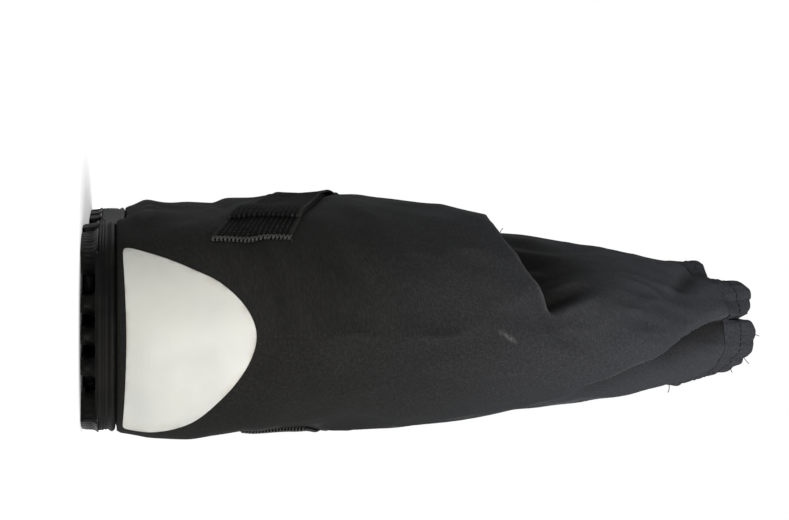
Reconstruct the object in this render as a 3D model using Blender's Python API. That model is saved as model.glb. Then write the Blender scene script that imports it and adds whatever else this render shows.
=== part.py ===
"""Left rain overboot: a waterproof fabric boot on a lug sole, with an ankle strap and a hemmed collar.

Sizes are millimetres in the boot's own frame: x across, with +x towards the inner side of the left foot,
y along the foot from the back of the heel, and z up from the floor. The objects hang under one empty.
"""

from collections import namedtuple

import bpy
import numpy as np

MM = 0.001

# Driving dimensions
SOLE_LENGTH = 300.0
BALL_WIDTH = 110.0
BOOT_HEIGHT = 340.0
FABRIC_WALL = 1.2
GAP = 0.3
AROUND = 56
OUTLINE_STEPS = 720

# The origin is on the floor under the middle of the boot's box
ORIGIN_ALONG = 148.5
ORIGIN_ACROSS = -0.9

# Sole: lugs, base sheet, toe spring, arch, and a side wall that is low at the heel and taller at the toe
LUG_HEIGHT = 5.5
BASE_THICKNESS = 3.0
RIM_HEIGHT = 12.5
RIM_THICKNESS = 2.5
RIM_ROUNDING = 0.8
EDGE_CHAMFER = 1.5
TOE_SPRING = 12.0
TOE_BREAK = 218.0
BAND_RISE = 6.0
BAND_START = 40.0
BAND_FULL = 170.0
ARCH_RISE = 2.0
HEEL_FRONT = 84.0
FOREFOOT_BACK = 140.0

OutlinePoint = namedtuple("OutlinePoint", "across along")

# Shares of half the ball width and of the sole's length, from the heel by the inner side to the toe and back
SOLE_OUTLINE = {
    "heel_back": OutlinePoint(0.00, 0.000),
    "heel_inner_rear": OutlinePoint(0.54, 0.030),
    "heel_inner": OutlinePoint(0.76, 0.133),
    "heel_inner_front": OutlinePoint(0.75, 0.270),
    "waist_inner": OutlinePoint(0.70, 0.440),
    "ball_inner": OutlinePoint(0.98, 0.690),
    "toe_inner": OutlinePoint(0.93, 0.820),
    "toe_inner_front": OutlinePoint(0.62, 0.950),
    "toe_tip": OutlinePoint(0.10, 1.000),
    "toe_outer_front": OutlinePoint(-0.45, 0.958),
    "toe_outer": OutlinePoint(-0.82, 0.850),
    "ball_outer": OutlinePoint(-1.00, 0.660),
    "waist_outer": OutlinePoint(-0.86, 0.440),
    "heel_outer_front": OutlinePoint(-0.79, 0.270),
    "heel_outer": OutlinePoint(-0.78, 0.133),
    "heel_outer_rear": OutlinePoint(-0.54, 0.030),
}

# Lug pattern: edge blocks along both sides, and three columns of lugs between them
LugRow = namedtuple("LugRow", "back front")
HEEL_ROWS = (LugRow(12.0, 30.0), LugRow(36.0, 56.0), LugRow(62.0, HEEL_FRONT))
FOREFOOT_PITCH = 20.5
FOREFOOT_LUG_LENGTH = 14.5
FOREFOOT_STARTS = [FOREFOOT_BACK + FOREFOOT_PITCH * row for row in range(7)]
FOREFOOT_ROWS = tuple(LugRow(start, start + FOREFOOT_LUG_LENGTH) for start in FOREFOOT_STARTS)
EDGE_LUG_DEPTH = 14.0
EDGE_LUG_INSET = 0.6
TOE_LUG_ANGLES = ((150.0, 163.0), (168.0, 186.0), (191.0, 204.0))
TOE_LUG_DEPTH = 11.0
LUG_CORNER = 3.0
LUG_CORNER_SHARE = 0.18
LUG_CHANNEL = 4.0
POINTED_SHARE = 0.34
LUG_DRAFT = 0.7
LUG_ROOT = 2.3
COLUMNS = 3

# Upper: one row for each section, from inside the sole's side wall up to the hem. A section runs from its
# back point to its front point, half_width to each side. bulge moves it out along its normal, foot_share
# takes its shape from the sole's outline, rim_share follows the side wall's top, and shift leans it inwards.
Section = namedtuple("Section", "back_y back_z front_y front_z half_width bulge foot_share rim_share shift")
HALF_BALL = BALL_WIDTH / 2
TUCK = -(RIM_THICKNESS + GAP)
BASE_TOP = LUG_HEIGHT + BASE_THICKNESS
HEM_HEIGHT = 14.0
HEM_BOTTOM = BOOT_HEIGHT - HEM_HEIGHT
UPPER_SECTIONS = {
    "seat": Section(0, BASE_TOP + GAP, SOLE_LENGTH, BASE_TOP + GAP, HALF_BALL, TUCK, 1.00, 1.00, 0),
    "rim": Section(0, RIM_HEIGHT + GAP, SOLE_LENGTH, RIM_HEIGHT + GAP, HALF_BALL, TUCK, 1.00, 1.00, 0),
    "over_rim": Section(0, RIM_HEIGHT + 0.7, SOLE_LENGTH, RIM_HEIGHT + 0.7, HALF_BALL, -0.6, 1.00, 1.00, 0),
    "lip": Section(0, 17, 300, 17, 55.0, 1.2, 1.00, 1.00, 0),
    "side": Section(-1, 27, 299.5, 27, 55.0, 2.8, 1.00, 0.75, 0),
    "toe_wall": Section(-2, 39, 296, 41.5, 55.0, 3.0, 1.00, 0.50, 0),
    "toe_cap": Section(-2.5, 50, 288.5, 55, 55.0, 2.8, 0.95, 0.25, -1),
    "crown": Section(-2.5, 60, 275, 69, 55.0, 2.5, 0.85, 0.00, -1),
    "vamp": Section(-2, 70, 256.5, 77, 58.0, 2.0, 0.65, 0.00, -1.5),
    "vamp_top": Section(-1, 82, 235, 87, 59.0, 1.5, 0.40, 0.00, -1.5),
    "instep": Section(0, 96, 213.5, 101, 60.0, 0.8, 0.20, 0.00, -1),
    "throat": Section(2, 113, 196, 120, 60.5, 0.0, 0.05, 0.00, -0.5),
    "ankle": Section(3, 136, 184, 145, 59.0, 0.0, 0.00, 0.00, 0),
    "shin": Section(4, 162, 178, 172, 56.0, 0.0, 0.00, 0.00, 1),
    "leg_low": Section(4, 200, 175, 205, 51.0, 0.0, 0.00, 0.00, 2.5),
    "leg_middle": Section(9, 245, 167, 247, 45.5, 0.0, 0.00, 0.00, 5.5),
    "leg_high": Section(21, 290, 157, 291, 40.0, 0.0, 0.00, 0.00, 8.5),
    "top": Section(31, HEM_BOTTOM - GAP, 150, HEM_BOTTOM - GAP, 36.0, 0.0, 0.00, 0.00, 9.5),
}
LEG_ROUNDNESS = 2.2
FIRST_HALF_STEP = list(UPPER_SECTIONS).index("toe_wall")
LAST_HALF_STEP = list(UPPER_SECTIONS).index("shin")

# Collar hem: folded fabric over elastic
HEM_THICKNESS = 3.0
HEM_PROUD = 0.9
HEM_ROUNDING = 1.0

# Ankle strap: a band about a plane that climbs from the heel's sides to the front of the ankle
STRAP_WIDTH = 28.0
STRAP_THICKNESS = 1.4
STRAP_GAP = 0.45
STRAP_HEEL_HEIGHT = 58.0
STRAP_SLOPE = 0.5
STRAP_ROOT_ALONG = 40.0
STRAP_END_ALONG = 26.0
STRAP_PITCH = 3.0
STRAP_ACROSS = 4
PATCH_THICKNESS = 1.0
PATCH_BACK_ALONG = 10.0
PATCH_FRONT_ALONG = 78.0
STEP_OVER = 9.0

# Materials: linear colour and roughness
RUBBER_BLACK = (0.014, 0.014, 0.013, 1.0)
FABRIC_BLACK = (0.022, 0.022, 0.023, 1.0)
HEM_BLACK = (0.020, 0.020, 0.022, 1.0)
STRAP_BLACK = (0.010, 0.010, 0.010, 1.0)


def smooth_step(share):
    """0 below share 0 and 1 above share 1, with a soft start and end."""
    share = np.clip(share, 0.0, 1.0)
    return share * share * (3.0 - 2.0 * share)


def toe_spring(along):
    """How far the sole lifts off the floor in front of the ball."""
    return TOE_SPRING * np.clip((along - TOE_BREAK) / (SOLE_LENGTH - TOE_BREAK), 0.0, 1.2) ** 2


def sole_rise(along):
    """How far the whole sole stands up from its height at the heel: toe spring, and a little arch."""
    share = np.clip((along - HEEL_FRONT) / (FOREFOOT_BACK - HEEL_FRONT), 0.0, 1.0)
    return toe_spring(along) + ARCH_RISE * np.sin(np.pi * share) ** 2


def base_bottom(along):
    """Underside of the base sheet, between the lugs."""
    return LUG_HEIGHT + sole_rise(along)


def rim_rise(along):
    """How far the side wall's top stands above its height at the heel: it grows towards the ball."""
    band = smooth_step((along - BAND_START) / (BAND_FULL - BAND_START))
    return sole_rise(along) + BAND_RISE * band


def closed_curve(points, steps):
    """A smooth closed curve through the points: cubic pieces whose slopes come from the neighbours."""
    before, after = np.roll(points, 1, axis=0), np.roll(points, -1, axis=0)
    slope, next_slope = (after - before) / 2, np.roll((after - before) / 2, -1, axis=0)
    share = (np.arange(steps) / steps)[None, :, None]
    start, end = points[:, None], after[:, None]
    curve = (
        (2 * share**3 - 3 * share**2 + 1) * start
        + (share**3 - 2 * share**2 + share) * slope[:, None]
        + (3 * share**2 - 2 * share**3) * end
        + (share**3 - share**2) * next_slope[:, None]
    )
    return curve.reshape(-1, points.shape[1])


def sole_radius(angle):
    """The sole's edge from its middle, in half widths and half lengths, by the angle from the heel."""
    shares = closed_curve(np.array(list(SOLE_OUTLINE.values())), 24)
    across, along = shares[:, 0], 2 * shares[:, 1] - 1
    return np.interp(angle, np.arctan2(across, -along), np.hypot(across, along), period=2 * np.pi)


def plan_normals(x, y):
    """Unit normals of closed loops in plan, pointing outwards, along the last axis."""
    step_x = np.roll(x, -1, axis=-1) - np.roll(x, 1, axis=-1)
    step_y = np.roll(y, -1, axis=-1) - np.roll(y, 1, axis=-1)
    length = np.hypot(step_x, step_y)
    return step_y / length, -step_x / length


def around_angles():
    return np.arange(AROUND) * 2 * np.pi / AROUND


def sole_loop(inset, angle=None):
    """The sole's outline in plan, moved in by inset."""
    angle = around_angles() if angle is None else angle
    radius = sole_radius(angle)
    x = radius * np.sin(angle) * HALF_BALL
    y = (1 - radius * np.cos(angle)) * SOLE_LENGTH / 2
    out_x, out_y = plan_normals(x, y)
    return x - inset * out_x, y - inset * out_y


def steady_cubic(rows, at):
    """Columns of rows read at fractional row numbers, by cubics that never overshoot a row."""
    step = np.diff(rows, axis=0)
    same_way = step[:-1] * step[1:] > 0
    total = np.where(same_way, step[:-1] + step[1:], 1.0)
    inner = np.where(same_way, 2 * step[:-1] * step[1:] / total, 0.0)
    slope = np.vstack([step[:1], inner, step[-1:]])
    low = np.clip(np.floor(at).astype(int), 0, len(rows) - 2)
    share = (at - low)[:, None]
    return (
        (2 * share**3 - 3 * share**2 + 1) * rows[low]
        + (share**3 - 2 * share**2 + share) * slope[low]
        + (3 * share**2 - 2 * share**3) * rows[low + 1]
        + (share**3 - share**2) * slope[low + 1]
    )


def upper_surface(levels, angle):
    """Outside of the upper: a grid of points, a loop for each level, where level counts the section rows."""
    section = Section(*steady_cubic(np.array(list(UPPER_SECTIONS.values()), float), levels).T[:, :, None])
    sine, cosine = np.sin(angle)[None], np.cos(angle)[None]
    leg = (np.abs(sine) ** LEG_ROUNDNESS + np.abs(cosine) ** LEG_ROUNDNESS) ** (-1 / LEG_ROUNDNESS)
    radius = section.foot_share * sole_radius(angle)[None] + (1 - section.foot_share) * leg
    share = (1 - radius * cosine) / 2
    x = section.shift + radius * sine * section.half_width
    y = section.back_y + share * (section.front_y - section.back_y)
    z = section.back_z + share * (section.front_z - section.back_z) + section.rim_share * rim_rise(y)
    out_x, out_y = plan_normals(x, y)
    return np.stack([x + section.bulge * out_x, y + section.bulge * out_y, z], axis=-1)


def surface_normals(grid):
    """Unit normals of a grid of closed loops that climbs row by row, pointing outwards."""
    around = np.roll(grid, -1, axis=1) - np.roll(grid, 1, axis=1)
    up = np.gradient(grid, axis=0)
    normal = np.cross(around, up)
    return normal / np.linalg.norm(normal, axis=-1, keepdims=True)


def grid_faces(rows, columns, wrap_rows):
    """Quads of a grid whose columns close into loops, and whose rows do too if wrap_rows."""
    row = np.arange(rows if wrap_rows else rows - 1)[:, None]
    column = np.arange(columns)[None]
    next_row, next_column = (row + 1) % rows, (column + 1) % columns
    corners = (row, column), (row, next_column), (next_row, next_column), (next_row, column)
    return np.stack([r * columns + c for r, c in corners], axis=-1).reshape(-1, 4).tolist()


def ladder(first, count, turned):
    """Faces that close a loop by rungs between its two sides, from point 0 to the point half way round."""
    half = count // 2
    faces = [[first, first + 1, first + count - 1]]
    for i in range(1, half - 1):
        faces.append([first + i, first + i + 1, first + count - i - 1, first + count - i])
    faces += [[first + half - 1, first + half, first + half + 1]]
    return [face[::-1] for face in faces] if turned else faces


def facing_out(points, faces):
    """The faces, all turned round if they enclose a negative volume."""
    corners = points[np.array([[f[0], f[k], f[k + 1]] for f in faces for k in range(1, len(f) - 1)])]
    volume = np.einsum("ij,ij->", np.cross(corners[:, 0], corners[:, 1]), corners[:, 2])
    return [face[::-1] for face in faces] if volume < 0 else faces


def make_material(name, colour, roughness):
    material = bpy.data.materials.new(name)
    material.use_nodes = True
    shader = material.node_tree.nodes["Principled BSDF"]
    shader.inputs["Base Color"].default_value = colour
    shader.inputs["Roughness"].default_value = roughness
    return material


def make_object(name, points, faces, material, parent):
    """A named object under the parent, its points given in the boot's frame in millimetres."""
    mesh = bpy.data.meshes.new(name)
    mesh.from_pydata((points * MM).tolist(), [], faces)
    mesh.materials.append(material)
    mesh.shade_smooth()
    mesh.set_sharp_from_angle(angle=np.radians(40))
    made = bpy.data.objects.new(name, mesh)
    made.parent = parent
    bpy.context.scene.collection.objects.link(made)
    return made


def prism(plan, low, high, draft):
    """A lug: its plan at the root, drawn in by the draft at the tread, with the heights of each point."""
    middle = plan.mean(axis=0)
    arm = plan - middle
    tread = middle + arm * (1 - draft / np.linalg.norm(arm, axis=1, keepdims=True))
    count = len(plan)
    points = np.vstack([np.column_stack([tread, low]), np.column_stack([plan, high])])
    faces = grid_faces(2, count, False)
    faces += [list(range(count))[::-1], list(range(count, 2 * count))]
    return points, faces


def outline_points(inset, angles):
    """Points of the sole's outline, moved in by inset, at the given angles."""
    fine = np.linspace(0, 2 * np.pi, OUTLINE_STEPS, endpoint=False)
    x, y = sole_loop(inset, fine)
    return np.column_stack([np.interp(angles, fine, side, period=2 * np.pi) for side in (x, y)])


def edge_lug(start, end, depth):
    """Plan of an edge block between two angles of the outline, its inner corners cut."""
    corner = LUG_CORNER_SHARE * (end - start)
    return np.vstack([
        outline_points(EDGE_LUG_INSET, np.linspace(start, end, 4)),
        outline_points(depth - LUG_CORNER, [end]),
        outline_points(depth, [end - corner, start + corner]),
        outline_points(depth - LUG_CORNER, [start]),
    ])


def side_angles(row, inner):
    """Angles where the outline's inner or outer side passes the back and the front of a lug row."""
    angle = np.linspace(0, np.radians(170), OUTLINE_STEPS // 2)
    angle = angle if inner else 2 * np.pi - angle
    along = (1 - sole_radius(angle) * np.cos(angle)) * SOLE_LENGTH / 2
    return np.sort(np.interp([row.back, row.front], along, angle))


def middle_lugs(row):
    """Plans of the lugs between the edge blocks of a row: corners cut, and the middle one pointed."""
    x, y = sole_loop(EDGE_LUG_DEPTH + LUG_CHANNEL, np.linspace(0, 2 * np.pi, OUTLINE_STEPS, endpoint=False))
    middle_y, half_length = (row.back + row.front) / 2, (row.front - row.back) / 2
    half_turn = OUTLINE_STEPS // 2
    right = np.interp(middle_y, y[:half_turn], x[:half_turn])
    left = np.interp(middle_y, y[:half_turn:-1], x[:half_turn:-1])
    width = (right - left - LUG_CHANNEL * (COLUMNS - 1)) / COLUMNS
    half_width, side = width / 2, half_length - LUG_CORNER
    for column in range(COLUMNS):
        end = half_width - (POINTED_SHARE * width if column == COLUMNS // 2 else LUG_CORNER)
        corners = [(end, -half_length), (half_width, -side), (half_width, side), (end, half_length)]
        corners += [(-x, -y) for x, y in corners]
        yield np.array(corners) + (left + half_width + column * (width + LUG_CHANNEL), middle_y)


def lug_plans():
    """Every lug's plan: heel and forefoot rows with their edge blocks, and the blocks round the toe."""
    for row in HEEL_ROWS + FOREFOOT_ROWS:
        for inner in (True, False):
            yield edge_lug(*side_angles(row, inner), EDGE_LUG_DEPTH)
        yield from middle_lugs(row)
    for start, end in TOE_LUG_ANGLES:
        yield edge_lug(np.radians(start), np.radians(end), TOE_LUG_DEPTH)


def make_outsole(material, parent):
    """Moulded sole: base sheet with a low side wall as one skin, joined with the lugs."""
    loops = []
    for inset, height in (
        (EDGE_CHAMFER, lambda y: base_bottom(y)),
        (0.0, lambda y: base_bottom(y) + EDGE_CHAMFER),
        (0.0, lambda y: RIM_HEIGHT + rim_rise(y) - RIM_ROUNDING),
        (RIM_ROUNDING, lambda y: RIM_HEIGHT + rim_rise(y)),
        (RIM_THICKNESS - RIM_ROUNDING / 2, lambda y: RIM_HEIGHT + rim_rise(y)),
        (RIM_THICKNESS, lambda y: RIM_HEIGHT + rim_rise(y) - RIM_ROUNDING / 2),
        (RIM_THICKNESS, lambda y: base_bottom(y) + BASE_THICKNESS),
    ):
        x, y = sole_loop(inset)
        loops.append(np.column_stack([x, y, height(y)]))
    faces = grid_faces(len(loops), AROUND, False)
    faces += ladder(0, AROUND, True) + ladder((len(loops) - 1) * AROUND, AROUND, False)
    outsole = make_object("outsole", np.vstack(loops), faces, material, parent)

    lug_points, lug_faces, first = [], [], 0
    for plan in lug_plans():
        root = base_bottom(plan[:, 1]) + LUG_ROOT
        points, faces = prism(plan, toe_spring(plan[:, 1]), root, LUG_DRAFT)
        lug_points.append(points)
        lug_faces += [[first + i for i in face] for face in facing_out(points, faces)]
        first += len(points)
    lugs = make_object("outsole_lugs", np.vstack(lug_points), lug_faces, material, parent)
    lugs.hide_render = True
    lugs.display_type = "WIRE"
    join = outsole.modifiers.new("lugs", "BOOLEAN")
    join.operation = "UNION"
    join.object = lugs
    return outsole


def upper_levels():
    """Section rows, with a level half way between rows over the foot, where the shape turns most."""
    whole = np.arange(len(UPPER_SECTIONS), dtype=float)
    return np.sort(np.concatenate([whole, whole[FIRST_HALF_STEP:LAST_HALF_STEP] + 0.5]))


def make_upper(material, parent):
    """Fabric boot: outside and inside loops, joined at the collar and at the edge inside the sole's wall."""
    outside = upper_surface(upper_levels(), around_angles())
    inside = outside - FABRIC_WALL * surface_normals(outside)
    inside[0, :, 2], inside[-1, :, 2] = outside[0, :, 2], outside[-1, :, 2]
    loops = np.concatenate([outside, inside[::-1]])
    faces = grid_faces(len(loops), AROUND, True)
    return make_object("upper", loops.reshape(-1, 3), faces, material, parent)


def make_collar_hem(material, parent):
    """Folded hem: a rounded strip carried round the upper's top edge."""
    top = upper_surface(np.array([len(UPPER_SECTIONS) - 1.0]), around_angles())[0]
    out_x, out_y = plan_normals(top[:, 0], top[:, 1])
    inner, outer = HEM_PROUD - HEM_THICKNESS, HEM_PROUD
    section = [(inner + HEM_ROUNDING, HEM_BOTTOM), (outer - HEM_ROUNDING, HEM_BOTTOM)]
    section += [(outer, HEM_BOTTOM + HEM_ROUNDING), (outer, BOOT_HEIGHT - HEM_ROUNDING)]
    section += [(outer - HEM_ROUNDING, BOOT_HEIGHT), (inner + HEM_ROUNDING, BOOT_HEIGHT)]
    section += [(inner, BOOT_HEIGHT - HEM_ROUNDING), (inner, HEM_BOTTOM + HEM_ROUNDING)]
    loops = np.array([
        np.column_stack([top[:, 0] + out * out_x, top[:, 1] + out * out_y, np.full(AROUND, height)])
        for out, height in section
    ])
    faces = grid_faces(len(loops), AROUND, True)
    return make_object("collar_hem", loops.reshape(-1, 3), faces, material, parent)


def strap_band(angles, stand_off, thickness):
    """A band of strap width on the upper: for each angle, points across it at the stand-off and above it."""
    levels = np.linspace(FIRST_HALF_STEP, len(UPPER_SECTIONS) - 2.0, 400)
    fine = np.linspace(0, 2 * np.pi, OUTLINE_STEPS, endpoint=False)
    grid = upper_surface(levels, fine)
    normal = surface_normals(grid)
    cosine = 1 / np.hypot(1, STRAP_SLOPE)
    above = (grid[..., 2] - STRAP_HEEL_HEIGHT - STRAP_SLOPE * grid[..., 1]) * cosine
    across = np.linspace(-STRAP_WIDTH / 2, STRAP_WIDTH / 2, STRAP_ACROSS + 1)
    low, high = [], []
    for angle, off in zip(angles, stand_off):
        column = int(round(angle / (2 * np.pi) * len(fine))) % len(fine)
        for side, rise in ((low, off), (high, off + thickness)):
            lifted = grid[:, column] + rise * normal[:, column]
            side.append(np.stack([np.interp(across, above[:, column], axis) for axis in lifted.T], axis=1))
    return np.array(low), np.array(high)


def band_faces(rows, count):
    """Quads round a band, turned on its outer side so that both sides split along the same diagonal."""
    faces = grid_faces(rows, count, False)
    return [face[1:] + face[:1] if i % count >= count // 2 else face for i, face in enumerate(faces)]


def make_band(name, angles, stand_off, thickness, material, parent):
    """A closed solid between the two sides of a band."""
    low, high = strap_band(angles, stand_off, thickness)
    loops = np.concatenate([low, high[:, ::-1]], axis=1)
    count = loops.shape[1]
    points = loops.reshape(-1, 3)
    faces = band_faces(len(loops), count)
    faces += [list(range(count))[::-1], list(range(len(points) - count, len(points)))]
    return make_object(name, points, facing_out(points, faces), material, parent)


def strap_angle(along, inner):
    """Angle round the upper where the strap's middle line passes a distance along the foot on one side."""
    fine = np.linspace(0.1, np.pi - 0.1, 200)
    fine = fine if inner else 2 * np.pi - fine
    low, _ = strap_band(fine, np.zeros(len(fine)), STRAP_THICKNESS)
    return np.interp(along, low[:, STRAP_ACROSS // 2, 1], fine)


def stations(start, end):
    """Angles from start to end at whole steps of the pitch, where strap and patch both turn."""
    pitch = np.radians(STRAP_PITCH)
    whole = np.arange(np.ceil(start / pitch + 0.3), end / pitch - 0.3) * pitch
    return np.concatenate([[start], whole, [end]])


def make_strap_and_patch(material, parent):
    """Loop patch on the outer side, and the strap from its inner root over the patch to its end."""
    patch_ends = [strap_angle(along, False) for along in (PATCH_FRONT_ALONG, PATCH_BACK_ALONG)]
    patch_angles = stations(*patch_ends)
    stand_off = np.full(len(patch_angles), STRAP_GAP)
    make_band("strap_patch", patch_angles, stand_off, PATCH_THICKNESS, material, parent)

    ends = strap_angle(STRAP_ROOT_ALONG, True), strap_angle(STRAP_END_ALONG, False)
    angles = stations(*ends)
    over = smooth_step((angles - patch_ends[0]) / np.radians(STEP_OVER) + 1.6)
    stand_off = STRAP_GAP + over * (PATCH_THICKNESS + GAP)
    make_band("strap", angles, stand_off, STRAP_THICKNESS, material, parent)


def main():
    for old in list(bpy.data.objects):
        bpy.data.objects.remove(old)
    boot = bpy.data.objects.new("overboot", None)
    boot.location = (-ORIGIN_ACROSS * MM, -ORIGIN_ALONG * MM, 0)
    bpy.context.scene.collection.objects.link(boot)
    make_outsole(make_material("sole_rubber", RUBBER_BLACK, 0.45), boot)
    make_upper(make_material("waterproof_fabric", FABRIC_BLACK, 0.65), boot)
    make_collar_hem(make_material("hem_fabric", HEM_BLACK, 0.7), boot)
    make_strap_and_patch(make_material("hook_and_loop", STRAP_BLACK, 0.85), boot)


main()
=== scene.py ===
"""Looks of the left rain overboot: coated fabric on a lug sole, with an ankle strap and a gathered collar.

Sizes are millimetres in the boot's own frame, as in the CAD: x across with +x towards the inner side, y
along the foot from the back of the heel, z up from the floor. An angle runs round the boot in plan: 0 at
the back of the heel, 90 degrees at the inner side, 180 at the toe and 270, or -90, at the outer side.
"""

from collections import namedtuple

import bpy
import numpy as np
from mathutils import Matrix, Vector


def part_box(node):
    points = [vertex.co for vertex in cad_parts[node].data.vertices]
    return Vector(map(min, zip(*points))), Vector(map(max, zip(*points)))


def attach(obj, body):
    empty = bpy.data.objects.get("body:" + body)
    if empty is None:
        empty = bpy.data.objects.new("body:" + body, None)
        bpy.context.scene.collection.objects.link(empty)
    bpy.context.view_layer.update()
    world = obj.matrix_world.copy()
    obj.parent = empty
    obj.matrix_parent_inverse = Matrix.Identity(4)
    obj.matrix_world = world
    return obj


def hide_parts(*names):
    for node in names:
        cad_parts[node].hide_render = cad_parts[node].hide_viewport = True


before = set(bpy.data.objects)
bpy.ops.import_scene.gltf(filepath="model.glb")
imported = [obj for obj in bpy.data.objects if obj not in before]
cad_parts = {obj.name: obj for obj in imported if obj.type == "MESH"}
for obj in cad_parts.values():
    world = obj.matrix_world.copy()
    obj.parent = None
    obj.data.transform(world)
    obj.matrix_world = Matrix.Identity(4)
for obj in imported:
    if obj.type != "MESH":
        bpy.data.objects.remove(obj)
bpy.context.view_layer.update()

# Moulded sole
# One black rubber unit: a thin base with a side wall that grips the fabric, low at the heel and taller at
# the toe. It is moulded with a bead along the wall's top, ribs round the heel and teeth under the toe.

MM = 0.001
TURN = 2 * np.pi
SOLE_LENGTH = 300.0
HALF_BALL = 55.0
LUG_HEIGHT = 5.5
BASE_THICKNESS = 3.0
RIM_HEIGHT = 12.5
RIM_THICKNESS = 2.5
TOE_SPRING = 12.0
TOE_BREAK = 218.0
SPRING_LIMIT = 1.2
BAND_RISE = 6.0
BAND_START = 40.0
BAND_FULL = 170.0
ARCH_RISE = 2.0
HEEL_FRONT = 84.0
FOREFOOT_BACK = 140.0
CURVE_STEPS = 24
AROUND_SOLE = 1080
WALL_ROWS = 48
EDGE_ROUND = 1.8
BEAD_ROUND = 0.9
BEAD_PROUD = 0.5
BEAD_DROP = 1.3
BEAD_WIDTH = 0.75
GROOVE_DEPTH = 0.45
GROOVE_DROP = 2.9
GROOVE_WIDTH = 0.6
RIB_PITCH = 1.15
RIB_DEPTH = 0.45
RIB_FOOT = 1.0
RIB_FULL = 45.0
RIB_END = 75.0
TOOTH_PITCH = 3.4
TOOTH_DEPTH = 0.7
TOOTH_HEIGHT = 4.5
TEETH_START = 236.0
TEETH_FADE = 16.0
FLOOR_MARGIN = 4.0

# Loops of the sole off the wall's face: how far in from the outline those under the base lie, and how far
# in and below the top those over the wall's top and down its inner side lie
UNDER_INSETS = (14.0, EDGE_ROUND + 0.6)
RimLoop = namedtuple("RimLoop", "inset drop")
RIM_INSIDE = (RimLoop(1.6, 0.0), RimLoop(RIM_THICKNESS - 0.3, 0.1), RimLoop(RIM_THICKNESS, 0.5))

sole_low, sole_high = (np.array(corner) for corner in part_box("outsole"))
HEEL_POINT = np.array([(sole_low[0] + sole_high[0]) / 2, sole_low[1], 0.0])

OutlinePoint = namedtuple("OutlinePoint", "across along")

# Shares of half the ball width and of the sole's length, from the heel by the inner side to the toe and back
SOLE_OUTLINE = {
    "heel_back": OutlinePoint(0.00, 0.000),
    "heel_inner_rear": OutlinePoint(0.54, 0.030),
    "heel_inner": OutlinePoint(0.76, 0.133),
    "heel_inner_front": OutlinePoint(0.75, 0.270),
    "waist_inner": OutlinePoint(0.70, 0.440),
    "ball_inner": OutlinePoint(0.98, 0.690),
    "toe_inner": OutlinePoint(0.93, 0.820),
    "toe_inner_front": OutlinePoint(0.62, 0.950),
    "toe_tip": OutlinePoint(0.10, 1.000),
    "toe_outer_front": OutlinePoint(-0.45, 0.958),
    "toe_outer": OutlinePoint(-0.82, 0.850),
    "ball_outer": OutlinePoint(-1.00, 0.660),
    "waist_outer": OutlinePoint(-0.86, 0.440),
    "heel_outer_front": OutlinePoint(-0.79, 0.270),
    "heel_outer": OutlinePoint(-0.78, 0.133),
    "heel_outer_rear": OutlinePoint(-0.54, 0.030),
}


def smooth_step(share):
    """3 s^2 - 2 s^3 of the share, held at 0 below share 0 and at 1 above share 1."""
    share = np.clip(share, 0.0, 1.0)
    return share * share * (3.0 - 2.0 * share)


def bell(distance, width):
    """e to the minus (distance / width) squared."""
    return np.exp(-((distance / width) ** 2))


def toe_spring(along):
    """Lift of the tread off the floor: the square of the share of the way from the ball to the toe."""
    share = (along - TOE_BREAK) / (SOLE_LENGTH - TOE_BREAK)
    return TOE_SPRING * np.clip(share, 0.0, SPRING_LIMIT) ** 2


def sole_rise(along):
    """Toe spring, and a squared sine over the arch."""
    share = np.clip((along - HEEL_FRONT) / (FOREFOOT_BACK - HEEL_FRONT), 0.0, 1.0)
    return toe_spring(along) + ARCH_RISE * np.sin(np.pi * share) ** 2


def base_bottom(along):
    """Underside of the base between the lugs: a lug's height above the tread."""
    return LUG_HEIGHT + sole_rise(along)


def rim_rise(along):
    """Rise of the wall's top over its height at the heel: the sole's rise, and a soft step to the ball."""
    return sole_rise(along) + BAND_RISE * smooth_step((along - BAND_START) / (BAND_FULL - BAND_START))


def hermite(share, start, start_slope, end, end_slope):
    """Cubic from start to end with the given slopes at both ends, at a share of the way."""
    return (
        (2 * share**3 - 3 * share**2 + 1) * start
        + (share**3 - 2 * share**2 + share) * start_slope
        + (3 * share**2 - 2 * share**3) * end
        + (share**3 - share**2) * end_slope
    )


def closed_curve(points, steps):
    """A closed curve through the points: cubics whose slopes are half the step between the neighbours."""
    after = np.roll(points, -1, axis=0)
    slope = (after - np.roll(points, 1, axis=0)) / 2
    next_slope = np.roll(slope, -1, axis=0)
    share = (np.arange(steps) / steps)[None, :, None]
    curve = hermite(share, points[:, None], slope[:, None], after[:, None], next_slope[:, None])
    return curve.reshape(-1, points.shape[1])


def sole_radius(angle):
    """Distance of the sole's edge from its middle, in half widths and lengths, at angles from the heel."""
    shares = closed_curve(np.array(list(SOLE_OUTLINE.values())), CURVE_STEPS)
    across, along = shares[:, 0], 2 * shares[:, 1] - 1
    return np.interp(angle, np.arctan2(across, -along), np.hypot(across, along), period=TURN)


def plan_normals(x, y):
    """Unit normals of closed loops in plan: the step between neighbours, turned a quarter outwards."""
    step_x = np.roll(x, -1, axis=-1) - np.roll(x, 1, axis=-1)
    step_y = np.roll(y, -1, axis=-1) - np.roll(y, 1, axis=-1)
    length = np.hypot(step_x, step_y)
    return step_y / length, -step_x / length


def sole_loop(inset, angle):
    """The outline at the angles, moved in along its normals by inset, which may vary over rows of loops."""
    radius = sole_radius(angle)
    x = radius * np.sin(angle) * HALF_BALL
    y = (1 - radius * np.cos(angle)) * SOLE_LENGTH / 2
    out_x, out_y = plan_normals(x, y)
    return x - inset * out_x, y - inset * out_y


def quarter_round(radius, distance):
    """How far a rounded edge lies back, by the distance from its corner: a quarter circle of the radius."""
    return radius - np.sqrt(radius**2 - np.clip(radius - distance, 0, None) ** 2)


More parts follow.
